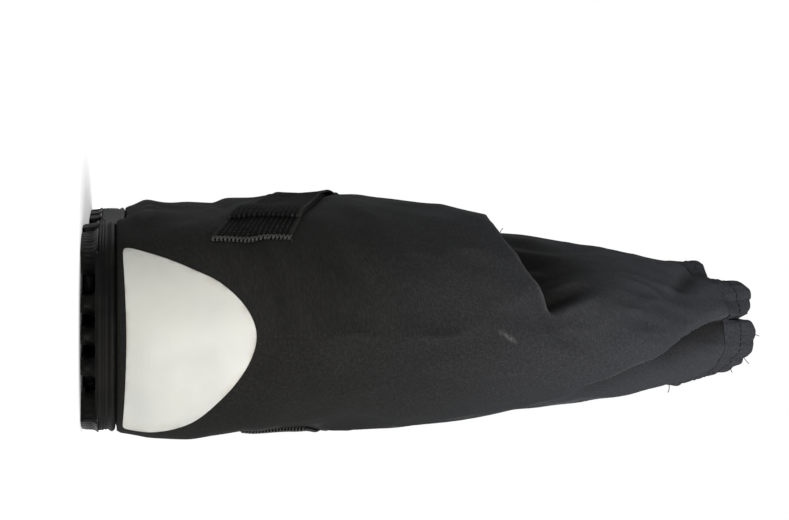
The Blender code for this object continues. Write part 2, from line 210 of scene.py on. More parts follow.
def zigzag(way, pitch):
    """Triangle wave from 1 to 0 and back over each pitch of the way."""
    return np.abs(2 * (way / pitch % 1) - 1)


def wall_inset(above, below, along, around):
    """Depth of the wall's face behind the outline, from the heights above its foot and below its top.

    Quarter circles round both edges; a bell for the bead and one for the groove under it; a raised cosine
    for the heel's ribs; and a triangle wave along the edge for the toe's teeth.
    """
    edges = quarter_round(EDGE_ROUND, above) + quarter_round(BEAD_ROUND, below)
    groove = GROOVE_DEPTH * bell(below - GROOVE_DROP, GROOVE_WIDTH)
    bead = BEAD_PROUD * bell(below - BEAD_DROP, BEAD_WIDTH)
    heel = 1 - smooth_step((along - RIB_FULL) / (RIB_END - RIB_FULL))
    rib_zone = smooth_step((above - RIB_FOOT) / RIB_PITCH) * smooth_step((below - GROOVE_DROP) / RIB_PITCH)
    ribs = RIB_DEPTH / 2 * (1 - np.cos(TURN * above / RIB_PITCH)) * heel * rib_zone
    toe = smooth_step((along - TEETH_START) / TEETH_FADE) * (1 - smooth_step(above / TOOTH_HEIGHT))
    return edges + groove - bead + ribs + TOOTH_DEPTH * zigzag(around, TOOTH_PITCH) * toe


def way_along(points):
    """Distance of each point in a row from the first one, along the straight steps between them."""
    return np.append(0, np.cumsum(np.linalg.norm(np.diff(points, axis=0), axis=-1)))


def even_angles(count):
    """Angles of a full turn in equal steps."""
    return np.arange(count) * TURN / count


def grid_faces(rows, columns, wrap_rows):
    """Quads of a grid whose columns close into loops, and whose rows do too if wrap_rows."""
    row = np.arange(rows if wrap_rows else rows - 1)[:, None]
    column = np.arange(columns)[None]
    next_row, next_column = (row + 1) % rows, (column + 1) % columns
    corners = (row, column), (row, next_column), (next_row, next_column), (next_row, column)
    return np.stack([r * columns + c for r, c in corners], axis=-1).reshape(-1, 4).tolist()


def ladder(first, count, turned):
    """Faces that close a loop by rungs between its two sides, from point 0 to the point half way round."""
    rung = np.arange(1, count // 2 - 1)
    quads = first + np.stack([rung, rung + 1, count - rung - 1, count - rung], axis=-1)
    tips = [[first, first + 1, first + count - 1], [first + count // 2 + k for k in (-1, 0, 1)]]
    faces = quads.tolist() + tips
    return [face[::-1] for face in faces] if turned else faces


def add_object(name, data):
    """A new object that holds the data, in the scene."""
    added = bpy.data.objects.new(name, data)
    bpy.context.scene.collection.objects.link(added)
    return added


def make_piece(name, points, faces, material):
    """A smooth mesh object at the origin, from points in millimetres in the boot's frame."""
    mesh = bpy.data.meshes.new(name)
    mesh.from_pydata((points * MM + HEEL_POINT).tolist(), [], faces)
    mesh.shade_smooth()
    mesh.materials.append(material)
    return add_object(name, mesh)


def put(tree, kind, sockets, **settings):
    """Adds a shader node. Each socket, by name or number, gets a value or the output it is joined to."""
    made = tree.nodes.new(kind)
    for name, value in settings.items():
        setattr(made, name, value)
    for name, value in sockets.items():
        if isinstance(value, bpy.types.NodeSocket):
            tree.links.new(value, made.inputs[name])
        else:
            made.inputs[name].default_value = value
    return made


def calculate(tree, operation, *values):
    """Output of a Math node on one or two values or sockets."""
    return put(tree, "ShaderNodeMath", dict(enumerate(values)), operation=operation).outputs[0]


def ramp(tree, value, low, high, to_low=0.0, to_high=1.0):
    """Output of a smooth Map Range node from low..high to to_low..to_high."""
    sockets = {"Value": value, 1: low, 2: high, 3: to_low, 4: to_high}
    return put(tree, "ShaderNodeMapRange", sockets, interpolation_type="SMOOTHSTEP").outputs[0]


def tint(tree, mask, plain, marked):
    """Colour that goes from plain to marked as the mask goes from 0 to 1; both may be colours or sockets."""
    mixed = put(tree, "ShaderNodeMix", {0: mask, 6: plain, 7: marked}, data_type="RGBA")
    return mixed.outputs[2]


def shade(tree, colour, strength):
    """A colour times a strength."""
    return put(tree, "ShaderNodeVectorMath", {0: colour, "Scale": strength}, operation="SCALE").outputs[0]


def noise(tree, vector, scale, detail=2.0):
    """Height of a noise texture, about 0.5 on average."""
    return put(tree, "ShaderNodeTexNoise", {"Vector": vector, "Scale": scale, "Detail": detail}).outputs[0]


def shader_group(name, setting, *outputs):
    """A shader node group with a Vector and one setting to put in, and the sockets it is fed and read by."""
    group = bpy.data.node_groups.new(name, "ShaderNodeTree")
    group.interface.new_socket("Vector", in_out="INPUT", socket_type="NodeSocketVector")
    group.interface.new_socket(setting, in_out="INPUT", socket_type="NodeSocketFloat")
    for socket in outputs:
        group.interface.new_socket(socket, in_out="OUTPUT", socket_type="NodeSocketFloat")
    return group, group.nodes.new("NodeGroupInput").outputs, group.nodes.new("NodeGroupOutput").inputs


def new_material(name, **plain):
    """A material with its tree and Principled shader; plain sets the sockets that are the same all over."""
    material = bpy.data.materials.new(name)
    material.use_nodes = True
    tree = material.node_tree
    shader = tree.nodes["Principled BSDF"]
    for socket, value in plain.items():
        shader.inputs[socket.replace("_", " ")].default_value = value
    return material, tree, shader


def connect(tree, shader, **outputs):
    """Joins each output to the shader's socket of that name."""
    for socket, output in outputs.items():
        tree.links.new(output, shader.inputs[socket.replace("_", " ")])


def object_place(tree):
    """Object coordinates, which are the boot's own frame in metres."""
    return tree.nodes.new("ShaderNodeTexCoord").outputs["Object"]


def rough_up(tree, shader, height, depth, strength):
    """Joins a height map to the shader's normal by a Bump node; depth is its full height in millimetres."""
    sockets = {"Height": height, "Distance": depth * MM, "Strength": strength}
    connect(tree, shader, Normal=put(tree, "ShaderNodeBump", sockets).outputs[0])


STIPPLE_SCALE = 1400.0
DUST_SCALE = 70.0
DUST_RANGE = (0.42, 0.72)


def moulded_rubber_group():
    """Rubber from a mould: a fine stipple for the bump, and soft patches where dust sits."""
    group, given, put_out = shader_group("moulded_rubber", "Dust", "Stipple", "Dusty")
    group.links.new(noise(group, given["Vector"], STIPPLE_SCALE, detail=3.0), put_out["Stipple"])
    patches = ramp(group, noise(group, given["Vector"], DUST_SCALE, detail=5.0), *DUST_RANGE)
    group.links.new(calculate(group, "MULTIPLY", patches, given["Dust"]), put_out["Dusty"])
    return group


RUBBER_GROUP = moulded_rubber_group()
WALL_BLACK = (0.0035, 0.0035, 0.0036, 1.0)
RUBBER_DUST = (0.030, 0.027, 0.023, 1.0)
ARCH_TAUPE = (0.215, 0.185, 0.155, 1.0)
ARCH_FADE = 4.0
ARCH_MARGIN = 4.0
UNDERSIDE = (-0.9, -0.6)
WALL_DUST = 0.2
DUSTY_RANGE = (0.0, 0.4)
WALL_ROUGHNESS = (0.55, 0.75)


def sole_material():
    """Matt black rubber with dust, and a bare taupe arch underneath between the heel and the forefoot."""
    material, tree, shader = new_material("sole_rubber", Specular_IOR_Level=0.12)
    place = object_place(tree)
    sockets = {"Vector": place, "Dust": WALL_DUST}
    rubber = put(tree, "ShaderNodeGroup", sockets, node_tree=RUBBER_GROUP).outputs
    along = put(tree, "ShaderNodeSeparateXYZ", {0: place}).outputs["Y"]
    back = HEEL_POINT[1] + (HEEL_FRONT + ARCH_MARGIN) * MM
    front = HEEL_POINT[1] + (FOREFOOT_BACK - ARCH_MARGIN) * MM
    after = ramp(tree, along, back - ARCH_FADE * MM, back + ARCH_FADE * MM)
    before = ramp(tree, along, front - ARCH_FADE * MM, front + ARCH_FADE * MM, 1.0, 0.0)
    normal = tree.nodes.new("ShaderNodeNewGeometry").outputs["Normal"]
    upward = put(tree, "ShaderNodeSeparateXYZ", {0: normal}).outputs["Z"]
    under = ramp(tree, upward, *UNDERSIDE, 1.0, 0.0)
    arch = calculate(tree, "MULTIPLY", calculate(tree, "MULTIPLY", after, before), under)
    dusty = tint(tree, rubber["Dusty"], WALL_BLACK, RUBBER_DUST)
    roughness = ramp(tree, rubber["Dusty"], *DUSTY_RANGE, *WALL_ROUGHNESS)
    connect(tree, shader, Base_Color=tint(tree, arch, dusty, ARCH_TAUPE), Roughness=roughness)
    rough_up(tree, shader, rubber["Stipple"], depth=0.12, strength=0.5)
    return material


def make_sole():
    """Loops from under the base, up the wall's face, over the bead and down inside to the sole's floor."""
    angle = even_angles(AROUND_SOLE)
    x, y = sole_loop(0.0, angle)
    bottom, top = base_bottom(y), RIM_HEIGHT + rim_rise(y)
    floor = bottom + BASE_THICKNESS
    above = np.linspace(0, 1, WALL_ROWS)[:, None] * (top - bottom)
    wall = wall_inset(above, top - bottom - above, y, way_along(np.column_stack([x, y])))
    rows = [(inset, bottom) for inset in UNDER_INSETS]
    rows += list(zip(wall, bottom + above))
    rows += [(loop.inset, top - loop.drop) for loop in RIM_INSIDE]
    rows += [(RIM_THICKNESS, floor), (RIM_THICKNESS + FLOOR_MARGIN, floor)]
    loops = [np.column_stack([*sole_loop(inset, angle), height]) for inset, height in rows]
    faces = grid_faces(len(loops), AROUND_SOLE, False)
    faces += ladder(0, AROUND_SOLE, True) + ladder((len(loops) - 1) * AROUND_SOLE, AROUND_SOLE, False)
    return make_piece("sole_unit", np.vstack(loops), faces, sole_material())


sole = make_sole()
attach(sole, "root")
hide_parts("outsole")

# Lugs
# Blocks of the same rubber, moulded in one with the base: toothed edge blocks along both sides and round the
# toe, and three columns between them. Their treads are glossier from the mould and carry fine hatching.

LugRow = namedtuple("LugRow", "back front")
HEEL_ROWS = (LugRow(12.0, 30.0), LugRow(36.0, 56.0), LugRow(62.0, HEEL_FRONT))
FOREFOOT_PITCH = 20.5
FOREFOOT_LUG_LENGTH = 14.5
FOREFOOT_ROW_COUNT = 7
FOREFOOT_STARTS = [FOREFOOT_BACK + FOREFOOT_PITCH * row for row in range(FOREFOOT_ROW_COUNT)]
FOREFOOT_ROWS = tuple(LugRow(start, start + FOREFOOT_LUG_LENGTH) for start in FOREFOOT_STARTS)
EDGE_LUG_DEPTH = 14.0
EDGE_LUG_INSET = 0.6
EDGE_LUG_POINTS = 12
TOE_LUG_ANGLES = ((150.0, 163.0), (168.0, 186.0), (191.0, 204.0))
TOE_LUG_DEPTH = 11.0
LUG_CORNER = 3.0
LUG_CORNER_SHARE = 0.18
LUG_CHANNEL = 4.0
POINTED_SHARE = 0.34
COLUMNS = 3
OUTLINE_STEPS = 720
SIDE_REACH = 170.0
LUG_POINTS = 96
LUG_SOFTENINGS = 3
SIDE_TOOTH_PITCH = 2.6
SIDE_TOOTH_DEPTH = 0.55
SIDE_TOOTH_AT = 0.6
SIDE_TOOTH_SPREAD = 0.35
EDGE_FROM = 0.94
EDGE_FADE = 0.03

# Rows of a lug from its root to its tread: how far in from its plan, and its height as a share of the lug's
LugLoop = namedtuple("LugLoop", "inset share")
LUG_PROFILE = (
    LugLoop(-1.3, 1.12),
    LugLoop(-0.9, 1.00),
    LugLoop(-0.35, 0.88),
    LugLoop(-0.05, 0.72),
    LugLoop(0.10, 0.50),
    LugLoop(0.25, 0.28),
    LugLoop(0.40, 0.14),
    LugLoop(0.75, 0.04),
    LugLoop(1.30, 0.00),
)
TREAD_SHARES = (0.66, 0.33)


def outline_points(inset, angles):
    """Points of the sole's outline, moved in by inset, at the given angles."""
    fine = even_angles(OUTLINE_STEPS)
    return np.column_stack([np.interp(angles, fine, side, period=TURN) for side in sole_loop(inset, fine)])


def edge_lug(start, end, depth):
    """Plan of an edge block between two angles of the outline, its inner corners cut."""
    corner = LUG_CORNER_SHARE * (end - start)
    return np.vstack([
        outline_points(EDGE_LUG_INSET, np.linspace(start, end, EDGE_LUG_POINTS)),
        outline_points(depth - LUG_CORNER, [end]),
        outline_points(depth, [end - corner, start + corner]),
        outline_points(depth - LUG_CORNER, [start]),
    ])


def side_angles(row, inner):
    """Angles where the outline's inner or outer side passes the back and the front of a lug row."""
    angle = np.linspace(0, np.radians(SIDE_REACH), OUTLINE_STEPS // 2)
    angle = angle if inner else TURN - angle
    along = (1 - sole_radius(angle) * np.cos(angle)) * SOLE_LENGTH / 2
    return np.sort(np.interp([row.back, row.front], along, angle))


def middle_lugs(row):
    """Plans of the lugs between the edge blocks of a row: corners cut, and the middle one pointed."""
    x, y = sole_loop(EDGE_LUG_DEPTH + LUG_CHANNEL, even_angles(OUTLINE_STEPS))
    middle_y, half_length = (row.back + row.front) / 2, (row.front - row.back) / 2
    half_turn = OUTLINE_STEPS // 2
    right = np.interp(middle_y, y[:half_turn], x[:half_turn])
    left = np.interp(middle_y, y[:half_turn:-1], x[:half_turn:-1])
    width = (right - left - LUG_CHANNEL * (COLUMNS - 1)) / COLUMNS
    half_width, side = width / 2, half_length - LUG_CORNER
    for column in range(COLUMNS):
        end = half_width - (POINTED_SHARE * width if column == COLUMNS // 2 else LUG_CORNER)
        corners = [(end, -half_length), (half_width, -side), (half_width, side), (end, half_length)]
        corners += [(-across, -along) for across, along in corners]
        yield np.array(corners) + (left + half_width + column * (width + LUG_CHANNEL), middle_y)


def lug_plans():
    """Every lug's plan: heel and forefoot rows with their edge blocks, and the blocks round the toe."""
    for row in HEEL_ROWS + FOREFOOT_ROWS:
        for inner in (True, False):
            yield edge_lug(*side_angles(row, inner), EDGE_LUG_DEPTH)
        yield from middle_lugs(row)
    for start, end in TOE_LUG_ANGLES:
        yield edge_lug(np.radians(start), np.radians(end), TOE_LUG_DEPTH)


def softened(plan, points, passes):
    """A closed plan read at even steps, its corners rounded by averages with the neighbours 1, 2, 1."""
    ring = np.vstack([plan, plan[:1]])
    way = way_along(ring)
    even = np.linspace(0, way[-1], points, endpoint=False)
    loop = np.column_stack([np.interp(even, way, side) for side in ring.T])
    for _ in range(passes):
        loop = (np.roll(loop, 1, axis=0) + 2 * loop + np.roll(loop, -1, axis=0)) / 4
    return loop


def edge_share(x, y):
    """1 on the sole's edge and 0 away from it: a soft step on the radius over that of the outline."""
    across, along = x / HALF_BALL, 2 * y / SOLE_LENGTH - 1
    share = np.hypot(across, along) / sole_radius(np.arctan2(across, -along))
    return smooth_step((share - EDGE_FROM) / EDGE_FADE)


LUG_BLACK = (0.0030, 0.0030, 0.0030, 1.0)
HATCH_PITCH = 1.6
HATCH_SHARE = 0.35
LUG_DUST = 0.25
LUG_ROUGHNESS = (0.3, 0.6)


def lug_material():
    """Glossy black rubber with patches of dust, hatched by a sine wave along the foot."""
    material, tree, shader = new_material("lug_rubber", Specular_IOR_Level=0.22)
    place = object_place(tree)
    sockets = {"Vector": place, "Dust": LUG_DUST}
    rubber = put(tree, "ShaderNodeGroup", sockets, node_tree=RUBBER_GROUP).outputs
    along = put(tree, "ShaderNodeSeparateXYZ", {0: place}).outputs["Y"]
    wave = calculate(tree, "SINE", calculate(tree, "MULTIPLY", along, TURN / (HATCH_PITCH * MM)))
    height = calculate(tree, "ADD", rubber["Stipple"], calculate(tree, "MULTIPLY", wave, HATCH_SHARE))
    colour = tint(tree, rubber["Dusty"], LUG_BLACK, RUBBER_DUST)
    roughness = ramp(tree, rubber["Dusty"], *DUSTY_RANGE, *LUG_ROUGHNESS)
    connect(tree, shader, Base_Color=colour, Roughness=roughness)
    rough_up(tree, shader, height, depth=0.15, strength=0.6)
    return material


def fan(loop, tip):
    """Triangles from each step of a closed loop to a tip."""
    return np.column_stack([loop, np.roll(loop, -1), np.full(len(loop), tip)])


def make_lugs():
    """Each plan carried from root to tread by the profile, its sides toothed along the sole's edge."""
    plans = np.array([softened(plan, LUG_POINTS, LUG_SOFTENINGS) for plan in lug_plans()])
    x, y = plans[..., 0], plans[..., 1]
    out_x, out_y = plan_normals(x, y)
    way = np.cumsum(np.hypot(x - np.roll(x, 1, axis=1), y - np.roll(y, 1, axis=1)), axis=1)
    tooth = SIDE_TOOTH_DEPTH * zigzag(way, SIDE_TOOTH_PITCH) * edge_share(x, y)
    tread, root = toe_spring(y), base_bottom(y)
    loops = []
    for inset, share in LUG_PROFILE:
        toothed = inset + tooth * bell(share - SIDE_TOOTH_AT, SIDE_TOOTH_SPREAD)
        loop_x, loop_y = x - toothed * out_x, y - toothed * out_y
        loops.append(np.stack([loop_x, loop_y, tread + share * (root - tread)], axis=-1))
    middle = loops[-1].mean(axis=1, keepdims=True)
    loops += [middle + (loops[-1] - middle) * share for share in TREAD_SHARES]
    points = np.stack(loops, axis=1).reshape(len(plans), -1, 3)
    points = np.concatenate([points, middle], axis=1)
    each = points.shape[1]
    faces = np.array(grid_faces(len(loops), LUG_POINTS, False))[:, ::-1]
    last = (len(loops) - 1) * LUG_POINTS + np.arange(LUG_POINTS)
    tips = fan(last, each - 1)[:, [1, 0, 2]]
    first = (np.arange(len(plans)) * each)[:, None, None]
    every = (first + faces).reshape(-1, 4).tolist() + (first + tips).reshape(-1, 3).tolist()
    every += (first[:, 0] + np.arange(LUG_POINTS)).tolist()
    return make_piece("sole_lugs", points.reshape(-1, 3), every, lug_material())


lugs = make_lugs()
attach(lugs, "root")

# Upper
# One boot of black coated fabric, foot and leg together, its lower edge bonded inside the sole's wall. The
# slack leg has buckled across its outer back, and gathers run down from the collar's elastic.

FABRIC_WALL = 1.2
GAP = 0.3
BOOT_HEIGHT = 340.0
HEM_HEIGHT = 14.0
HEM_BOTTOM = BOOT_HEIGHT - HEM_HEIGHT
TUCK = -(RIM_THICKNESS + GAP)
BASE_TOP = LUG_HEIGHT + BASE_THICKNESS
LEG_ROUNDNESS = 2.2
AROUND_UPPER = 300
ROWS_UPPER = 240
LINING_STEP = 3

# One row for each section, as in the CAD but a little fuller over the rim: from its back point to its front
# point, half_width to each side. bulge moves it out along its normal, foot_share takes its shape from the
# sole's outline, rim_share follows the side wall's top, and shift leans it inwards.
Section = namedtuple("Section", "back_y back_z front_y front_z half_width bulge foot_share rim_share shift")
UPPER_SECTIONS = {
    "seat": Section(0, BASE_TOP + GAP, SOLE_LENGTH, BASE_TOP + GAP, HALF_BALL, TUCK, 1.00, 1.00, 0),
    "rim": Section(0, RIM_HEIGHT + GAP, SOLE_LENGTH, RIM_HEIGHT + GAP, HALF_BALL, TUCK, 1.00, 1.00, 0),
    "over_rim": Section(0, RIM_HEIGHT + 0.6, SOLE_LENGTH, RIM_HEIGHT + 0.6, HALF_BALL, 0.6, 1.00, 1.00, 0),
    "lip": Section(0, 15.8, 300, 15.8, 55.0, 1.6, 1.00, 1.00, 0),
    "side": Section(-1, 27, 299.5, 27, 55.0, 2.8, 1.00, 0.75, 0),
    "toe_wall": Section(-2, 39, 296, 41.5, 55.0, 3.0, 1.00, 0.50, 0),
    "toe_cap": Section(-2.5, 50, 288.5, 55, 55.0, 2.8, 0.95, 0.25, -1),
    "crown": Section(-2.5, 60, 275, 69, 55.0, 2.5, 0.85, 0.00, -1),
    "vamp": Section(-2, 70, 256.5, 77, 58.0, 2.0, 0.65, 0.00, -1.5),
    "vamp_top": Section(-1, 82, 235, 87, 59.0, 1.5, 0.40, 0.00, -1.5),
    "instep": Section(0, 96, 213.5, 101, 60.0, 0.8, 0.20, 0.00, -1),
    "throat": Section(2, 113, 196, 120, 60.5, 0.0, 0.05, 0.00, -0.5),
    "ankle": Section(3, 136, 184, 145, 59.0, 0.0, 0.00, 0.00, 0),
    "shin": Section(4, 162, 178, 172, 56.0, 0.0, 0.00, 0.00, 1),
    "leg_low": Section(4, 200, 175, 205, 51.0, 0.0, 0.00, 0.00, 2.5),
    "leg_middle": Section(9, 245, 167, 247, 45.5, 0.0, 0.00, 0.00, 5.5),
    "leg_high": Section(21, 290, 157, 291, 40.0, 0.0, 0.00, 0.00, 8.5),
    "top": Section(31, HEM_BOTTOM - GAP, 150, HEM_BOTTOM - GAP, 36.0, 0.0, 0.00, 0.00, 9.5),
}
TOP_LEVEL = len(UPPER_SECTIONS) - 1.0

# Creases, placed on the unrolled leg: a line between two turns, in degrees from the heel's back, and
# two heights. depth is out from the cloth, and above and below are the widths to the line's left and right.
# A crease with a tuck is a fold: the cloth on its left steps in, and is drawn back under the line.
Crease = namedtuple("Crease", "turn height end_turn end_height depth above below tuck")
CREASES = {
    "buckle_lead": Crease(-150, 232, -124, 216, -1.2, 20.0, 6.0, 0.0),
    "buckle_entry": Crease(-128, 218, -102, 203, -2.4, 26.0, 5.0, 1.4),
    "buckle_start": Crease(-102, 203, -78, 191, -5.5, 30.0, 4.0, 4.0),
    "buckle_side": Crease(-78, 191, -50, 183, -10.5, 34.0, 4.0, 9.0),
    "buckle_middle": Crease(-50, 183, -29, 187, -10.5, 30.0, 4.0, 9.0),
    "buckle_back": Crease(-29, 187, -10, 198, -8.5, 26.0, 4.0, 7.0),
    "buckle_fade": Crease(-14, 196, 8, 208, -2.0, 14.0, 5.0, 0.0),
    "buckle_crest": Crease(-100, 194, -14, 184, 2.2, 6.0, 20.0, 0.0),
    "hollow_floor": Crease(-72, 252, -40, 214, -3.0, 14.0, 14.0, 0.0),
    "hollow_tongue": Crease(-34, 236, -18, 208, -2.0, 6.0, 4.0, 0.0),
    "collar_pleat": Crease(-17, 334, 13, 264, -5.5, 22.0, 4.0, 4.5),
    "collar_pleat_low": Crease(13, 264, 34, 222, -3.2, 20.0, 4.0, 2.4),
    "collar_crest": Crease(-20, 318, 24, 224, 1.8, 6.0, 14.0, 0.0),
    "collar_outer": Crease(-60, 336, -36, 288, -5.5, 9.0, 7.0, 0.0),
    "collar_inner": Crease(46, 318, 76, 240, -3.5, 12.0, 6.0, 0.0),
    "heel_side_ridge": Crease(-46, 18, -60, 62, 4.2, 8.0, 5.0, 0.0),
    "strap_ridge": Crease(-60, 58, -42, 66, 2.2, 6.0, 6.0, 0.0),
    "arch_roll_outer": Crease(-112, 32, -62, 24, 2.4, 7.0, 8.0, 0.0),
    "arch_roll_inner": Crease(60, 24, 112, 30, 2.0, 8.0, 8.0, 0.0),
    "back_dimple": Crease(20, 138, 40, 152, -1.6, 13.0, 10.0, 0.0),
    "heel_soft": Crease(14, 92, 54, 116, -1.6, 14.0, 12.0, 0.0),
    "back_long": Crease(-22, 120, -4, 168, -1.0, 16.0, 12.0, 0.0),
    "ankle_front": Crease(148, 194, 198, 183, -3.4, 14.0, 5.0, 0.0),
    "ankle_front_low": Crease(182, 170, 226, 184, -2.8, 12.0, 5.0, 0.0),
    "ankle_low": Crease(152, 160, 206, 156, -2.2, 11.0, 6.0, 0.0),
    "ankle_inner": Crease(84, 166, 134, 188, -3.2, 13.0, 5.0, 0.0),
    "ankle_inner_low": Crease(70, 132, 104, 146, -2.0, 10.0, 6.0, 0.0),
    "ankle_outer": Crease(-136, 182, -98, 158, -3.0, 12.0, 6.0, 0.0),
    "instep_low": Crease(148, 104, 214, 106, -2.4, 9.0, 7.0, 0.0),
    "vamp_inner": Crease(108, 62, 146, 88, -2.2, 9.0, 8.0, 0.0),
    "vamp_outer": Crease(-146, 90, -112, 60, -2.0, 8.0, 9.0, 0.0),
    "leg_front": Crease(162, 312, 190, 214, -4.6, 12.0, 7.0, 0.0),
    "leg_front_cross": Crease(146, 236, 204, 250, -1.6, 12.0, 7.0, 0.0),
    "leg_inner": Crease(98, 308, 124, 206, -4.4, 13.0, 7.0, 0.0),
    "leg_outer": Crease(-142, 318, -122, 240, -4.4, 11.0, 8.0, 0.0),
}

# Cloth for each degree and each radian round the leg, and how the creases ease and fold
DEGREE_WIDTH = 1.2
RADIAN_WIDTH = np.degrees(DEGREE_WIDTH)
CREASE_EASE = 18.0
FOLD_STEEPNESS = 0.85
FOLD_BACK = 0.65
FOLD_SHORTEST = 3.0
CREST_WIDTH = 1.5
LINING_LEAD = 10.0
TUCK_END = 322.0
TUCK_FADE = 20.0

# Slow waves that move the crease lines, in degrees or millimetres: how far, how many in a turn, how much of
# a radian for each millimetre up, and where they start
Sway = namedtuple("Sway", "size around rise start")
TURN_SWAYS = (Sway(1.1, 2, 1 / 15.0, 0.0), Sway(0.7, 5, 1 / 6.5, 0.0))
HEIGHT_SWAYS = (Sway(0.9, 6, 0.0, 1.3), Sway(0.7, 13, 1 / 21.0, 0.0))

# Gathers round the collar: how many in a turn, how deep at the hem, and where they start
Gather = namedtuple("Gather", "count depth start")
GATHERS = (
    Gather(5, 1.8, 0.6),
    Gather(8, 1.7, 2.1),
    Gather(13, 1.3, 4.4),
    Gather(19, 0.8, 1.2),
    Gather(31, 0.35, 3.3),
)
GATHER_PACE = 0.9
GATHER_PACE_WAVES = 2
GATHER_CHANGE = 0.3
GATHER_CHANGE_WAVES = 3
GATHER_REACH = 420.0
GATHER_SKEW = 0.75
SLACK_BACK = 0.75
SLACK_BACK_TURN = -8.0
SLACK_BACK_WIDTH = 55.0

# Slack of the cloth: how many waves in a turn, how long they are up the boot, how deep, and their start
Slack = namedtuple("Slack", "around height depth start")
SLACKS = (Slack(2, 210.0, 1.2, 0.4), Slack(3, 120.0, 0.9, 2.2), Slack(5, 84.0, 0.6, 4.1))

# Crumple of the cloth: drawn waves, so many in a turn and so long up the boot
CRUMPLE_SEED = 11
CRUMPLE_WAVES = 30
CRUMPLE_COUNTS = (3, 26)
CRUMPLE_LENGTHS = (24.0, 150.0)
CRUMPLE_DEPTH = 0.8
CRUMPLE_SHARPNESS = 0.03
CRUMPLE_LEVEL = 0.75

STRAP_HEEL_HEIGHT = 58.0
STRAP_SLOPE = 0.5
STRAP_CINCH = 1.1
CINCH_WIDTH = 15.0
CINCH_BACK = 0.3
CINCH_FADE = 0.4
CINCH_ROLL = 0.9
CINCH_ROLL_AT = 23.0
CINCH_ROLL_WIDTH = 8.0


def steady_cubic(rows, at):
    """Columns of rows read at fractional row numbers, by Hermite cubics that never overshoot a row."""
    step = np.diff(rows, axis=0)
    same_way = step[:-1] * step[1:] > 0
    total = np.where(same_way, step[:-1] + step[1:], 1.0)
    inner = np.where(same_way, 2 * step[:-1] * step[1:] / total, 0.0)
    slope = np.vstack([step[:1], inner, step[-1:]])
    low = np.clip(np.floor(at).astype(int), 0, len(rows) - 2)
    return hermite((at - low)[:, None], rows[low], slope[low], rows[low + 1], slope[low + 1])


def upper_surface(levels, angle):
    """The plain upper: loops between a superellipse and the sole's outline, by each level's foot share."""
    section = Section(*steady_cubic(np.array(list(UPPER_SECTIONS.values()), float), levels).T[:, :, None])
    sine, cosine = np.sin(angle)[None], np.cos(angle)[None]
    leg = (np.abs(sine) ** LEG_ROUNDNESS + np.abs(cosine) ** LEG_ROUNDNESS) ** (-1 / LEG_ROUNDNESS)
    radius = section.foot_share * sole_radius(angle)[None] + (1 - section.foot_share) * leg
    share = (1 - radius * cosine) / 2
    x = section.shift + radius * sine * section.half_width
    y = section.back_y + share * (section.front_y - section.back_y)
    z = section.back_z + share * (section.front_z - section.back_z) + section.rim_share * rim_rise(y)
    out_x, out_y = plan_normals(x, y)
    return np.stack([x + section.bulge * out_x, y + section.bulge * out_y, z], axis=-1)


def unit(vectors):
    """Vectors over their own lengths."""
    return vectors / np.linalg.norm(vectors, axis=-1, keepdims=True)


def surface_normals(grid):
    """Unit normals of a grid of closed loops: the step round it crossed with the step up it."""
    around = np.roll(grid, -1, axis=1) - np.roll(grid, 1, axis=1)
    return unit(np.cross(around, np.gradient(grid, axis=0)))


def strap_across(grid):
    """Distance above the strap's middle plane, which climbs by the strap's slope from the heel."""
    return (grid[..., 2] - STRAP_HEEL_HEIGHT - STRAP_SLOPE * grid[..., 1]) / np.hypot(1, STRAP_SLOPE)


def either_way(turn):
    """The same turn in degrees, between -180 and 180."""
    return (turn + 180) % 360 - 180


def slack_back(angle):
    """How tightly the collar is gathered: 1, less a bell at the back, where the cloth hangs slack."""
    return 1 - SLACK_BACK * bell(either_way(np.degrees(angle) - SLACK_BACK_TURN), SLACK_BACK_WIDTH)


def collar_gathers(angle, below):
    """Sum of waves round the boot, steep on one side as pleats are, that change in pace and size round it.

    Each dies away down the leg over a reach in proportion to its length.
    """
    total = 0.0
    for gather in GATHERS:
        pace = GATHER_PACE * np.sin(GATHER_PACE_WAVES * angle + gather.start)
        phase = gather.count * angle + gather.start + pace
        change = GATHER_CHANGE * (np.sin(GATHER_CHANGE_WAVES * angle + 2 * gather.start) - 1)
        pleat = np.sin(phase + GATHER_SKEW * np.sin(phase))
        fading = np.exp(-below * gather.count / GATHER_REACH)
        total = total + gather.depth * (1 + change) * pleat * fading
    return total * slack_back(angle)


def sway(waves, around, height):
    """Sum of slow sine waves round the boot and up it."""
    return sum(wave.size * np.sin(wave.around * around + wave.rise * height + wave.start) for wave in waves)


def wandering(turn, height):
    """Turns and heights moved a little by slow waves, so that the crease lines aren't quite straight."""
    around = np.radians(turn)
    return turn + sway(TURN_SWAYS, around, height), height + sway(HEIGHT_SWAYS, around, height)


def beside_line(crease, turn, height):
    """Distances along a crease's line and to the left of it, the line's direction, and its length."""
    across = either_way(turn - crease.turn) * DEGREE_WIDTH
    up = height - crease.height
    run = np.array([(crease.end_turn - crease.turn) * DEGREE_WIDTH, crease.end_height - crease.height])
    length = np.hypot(*run)
    run /= length
    return across * run[0] + up * run[1], up * run[0] - across * run[1], run, length


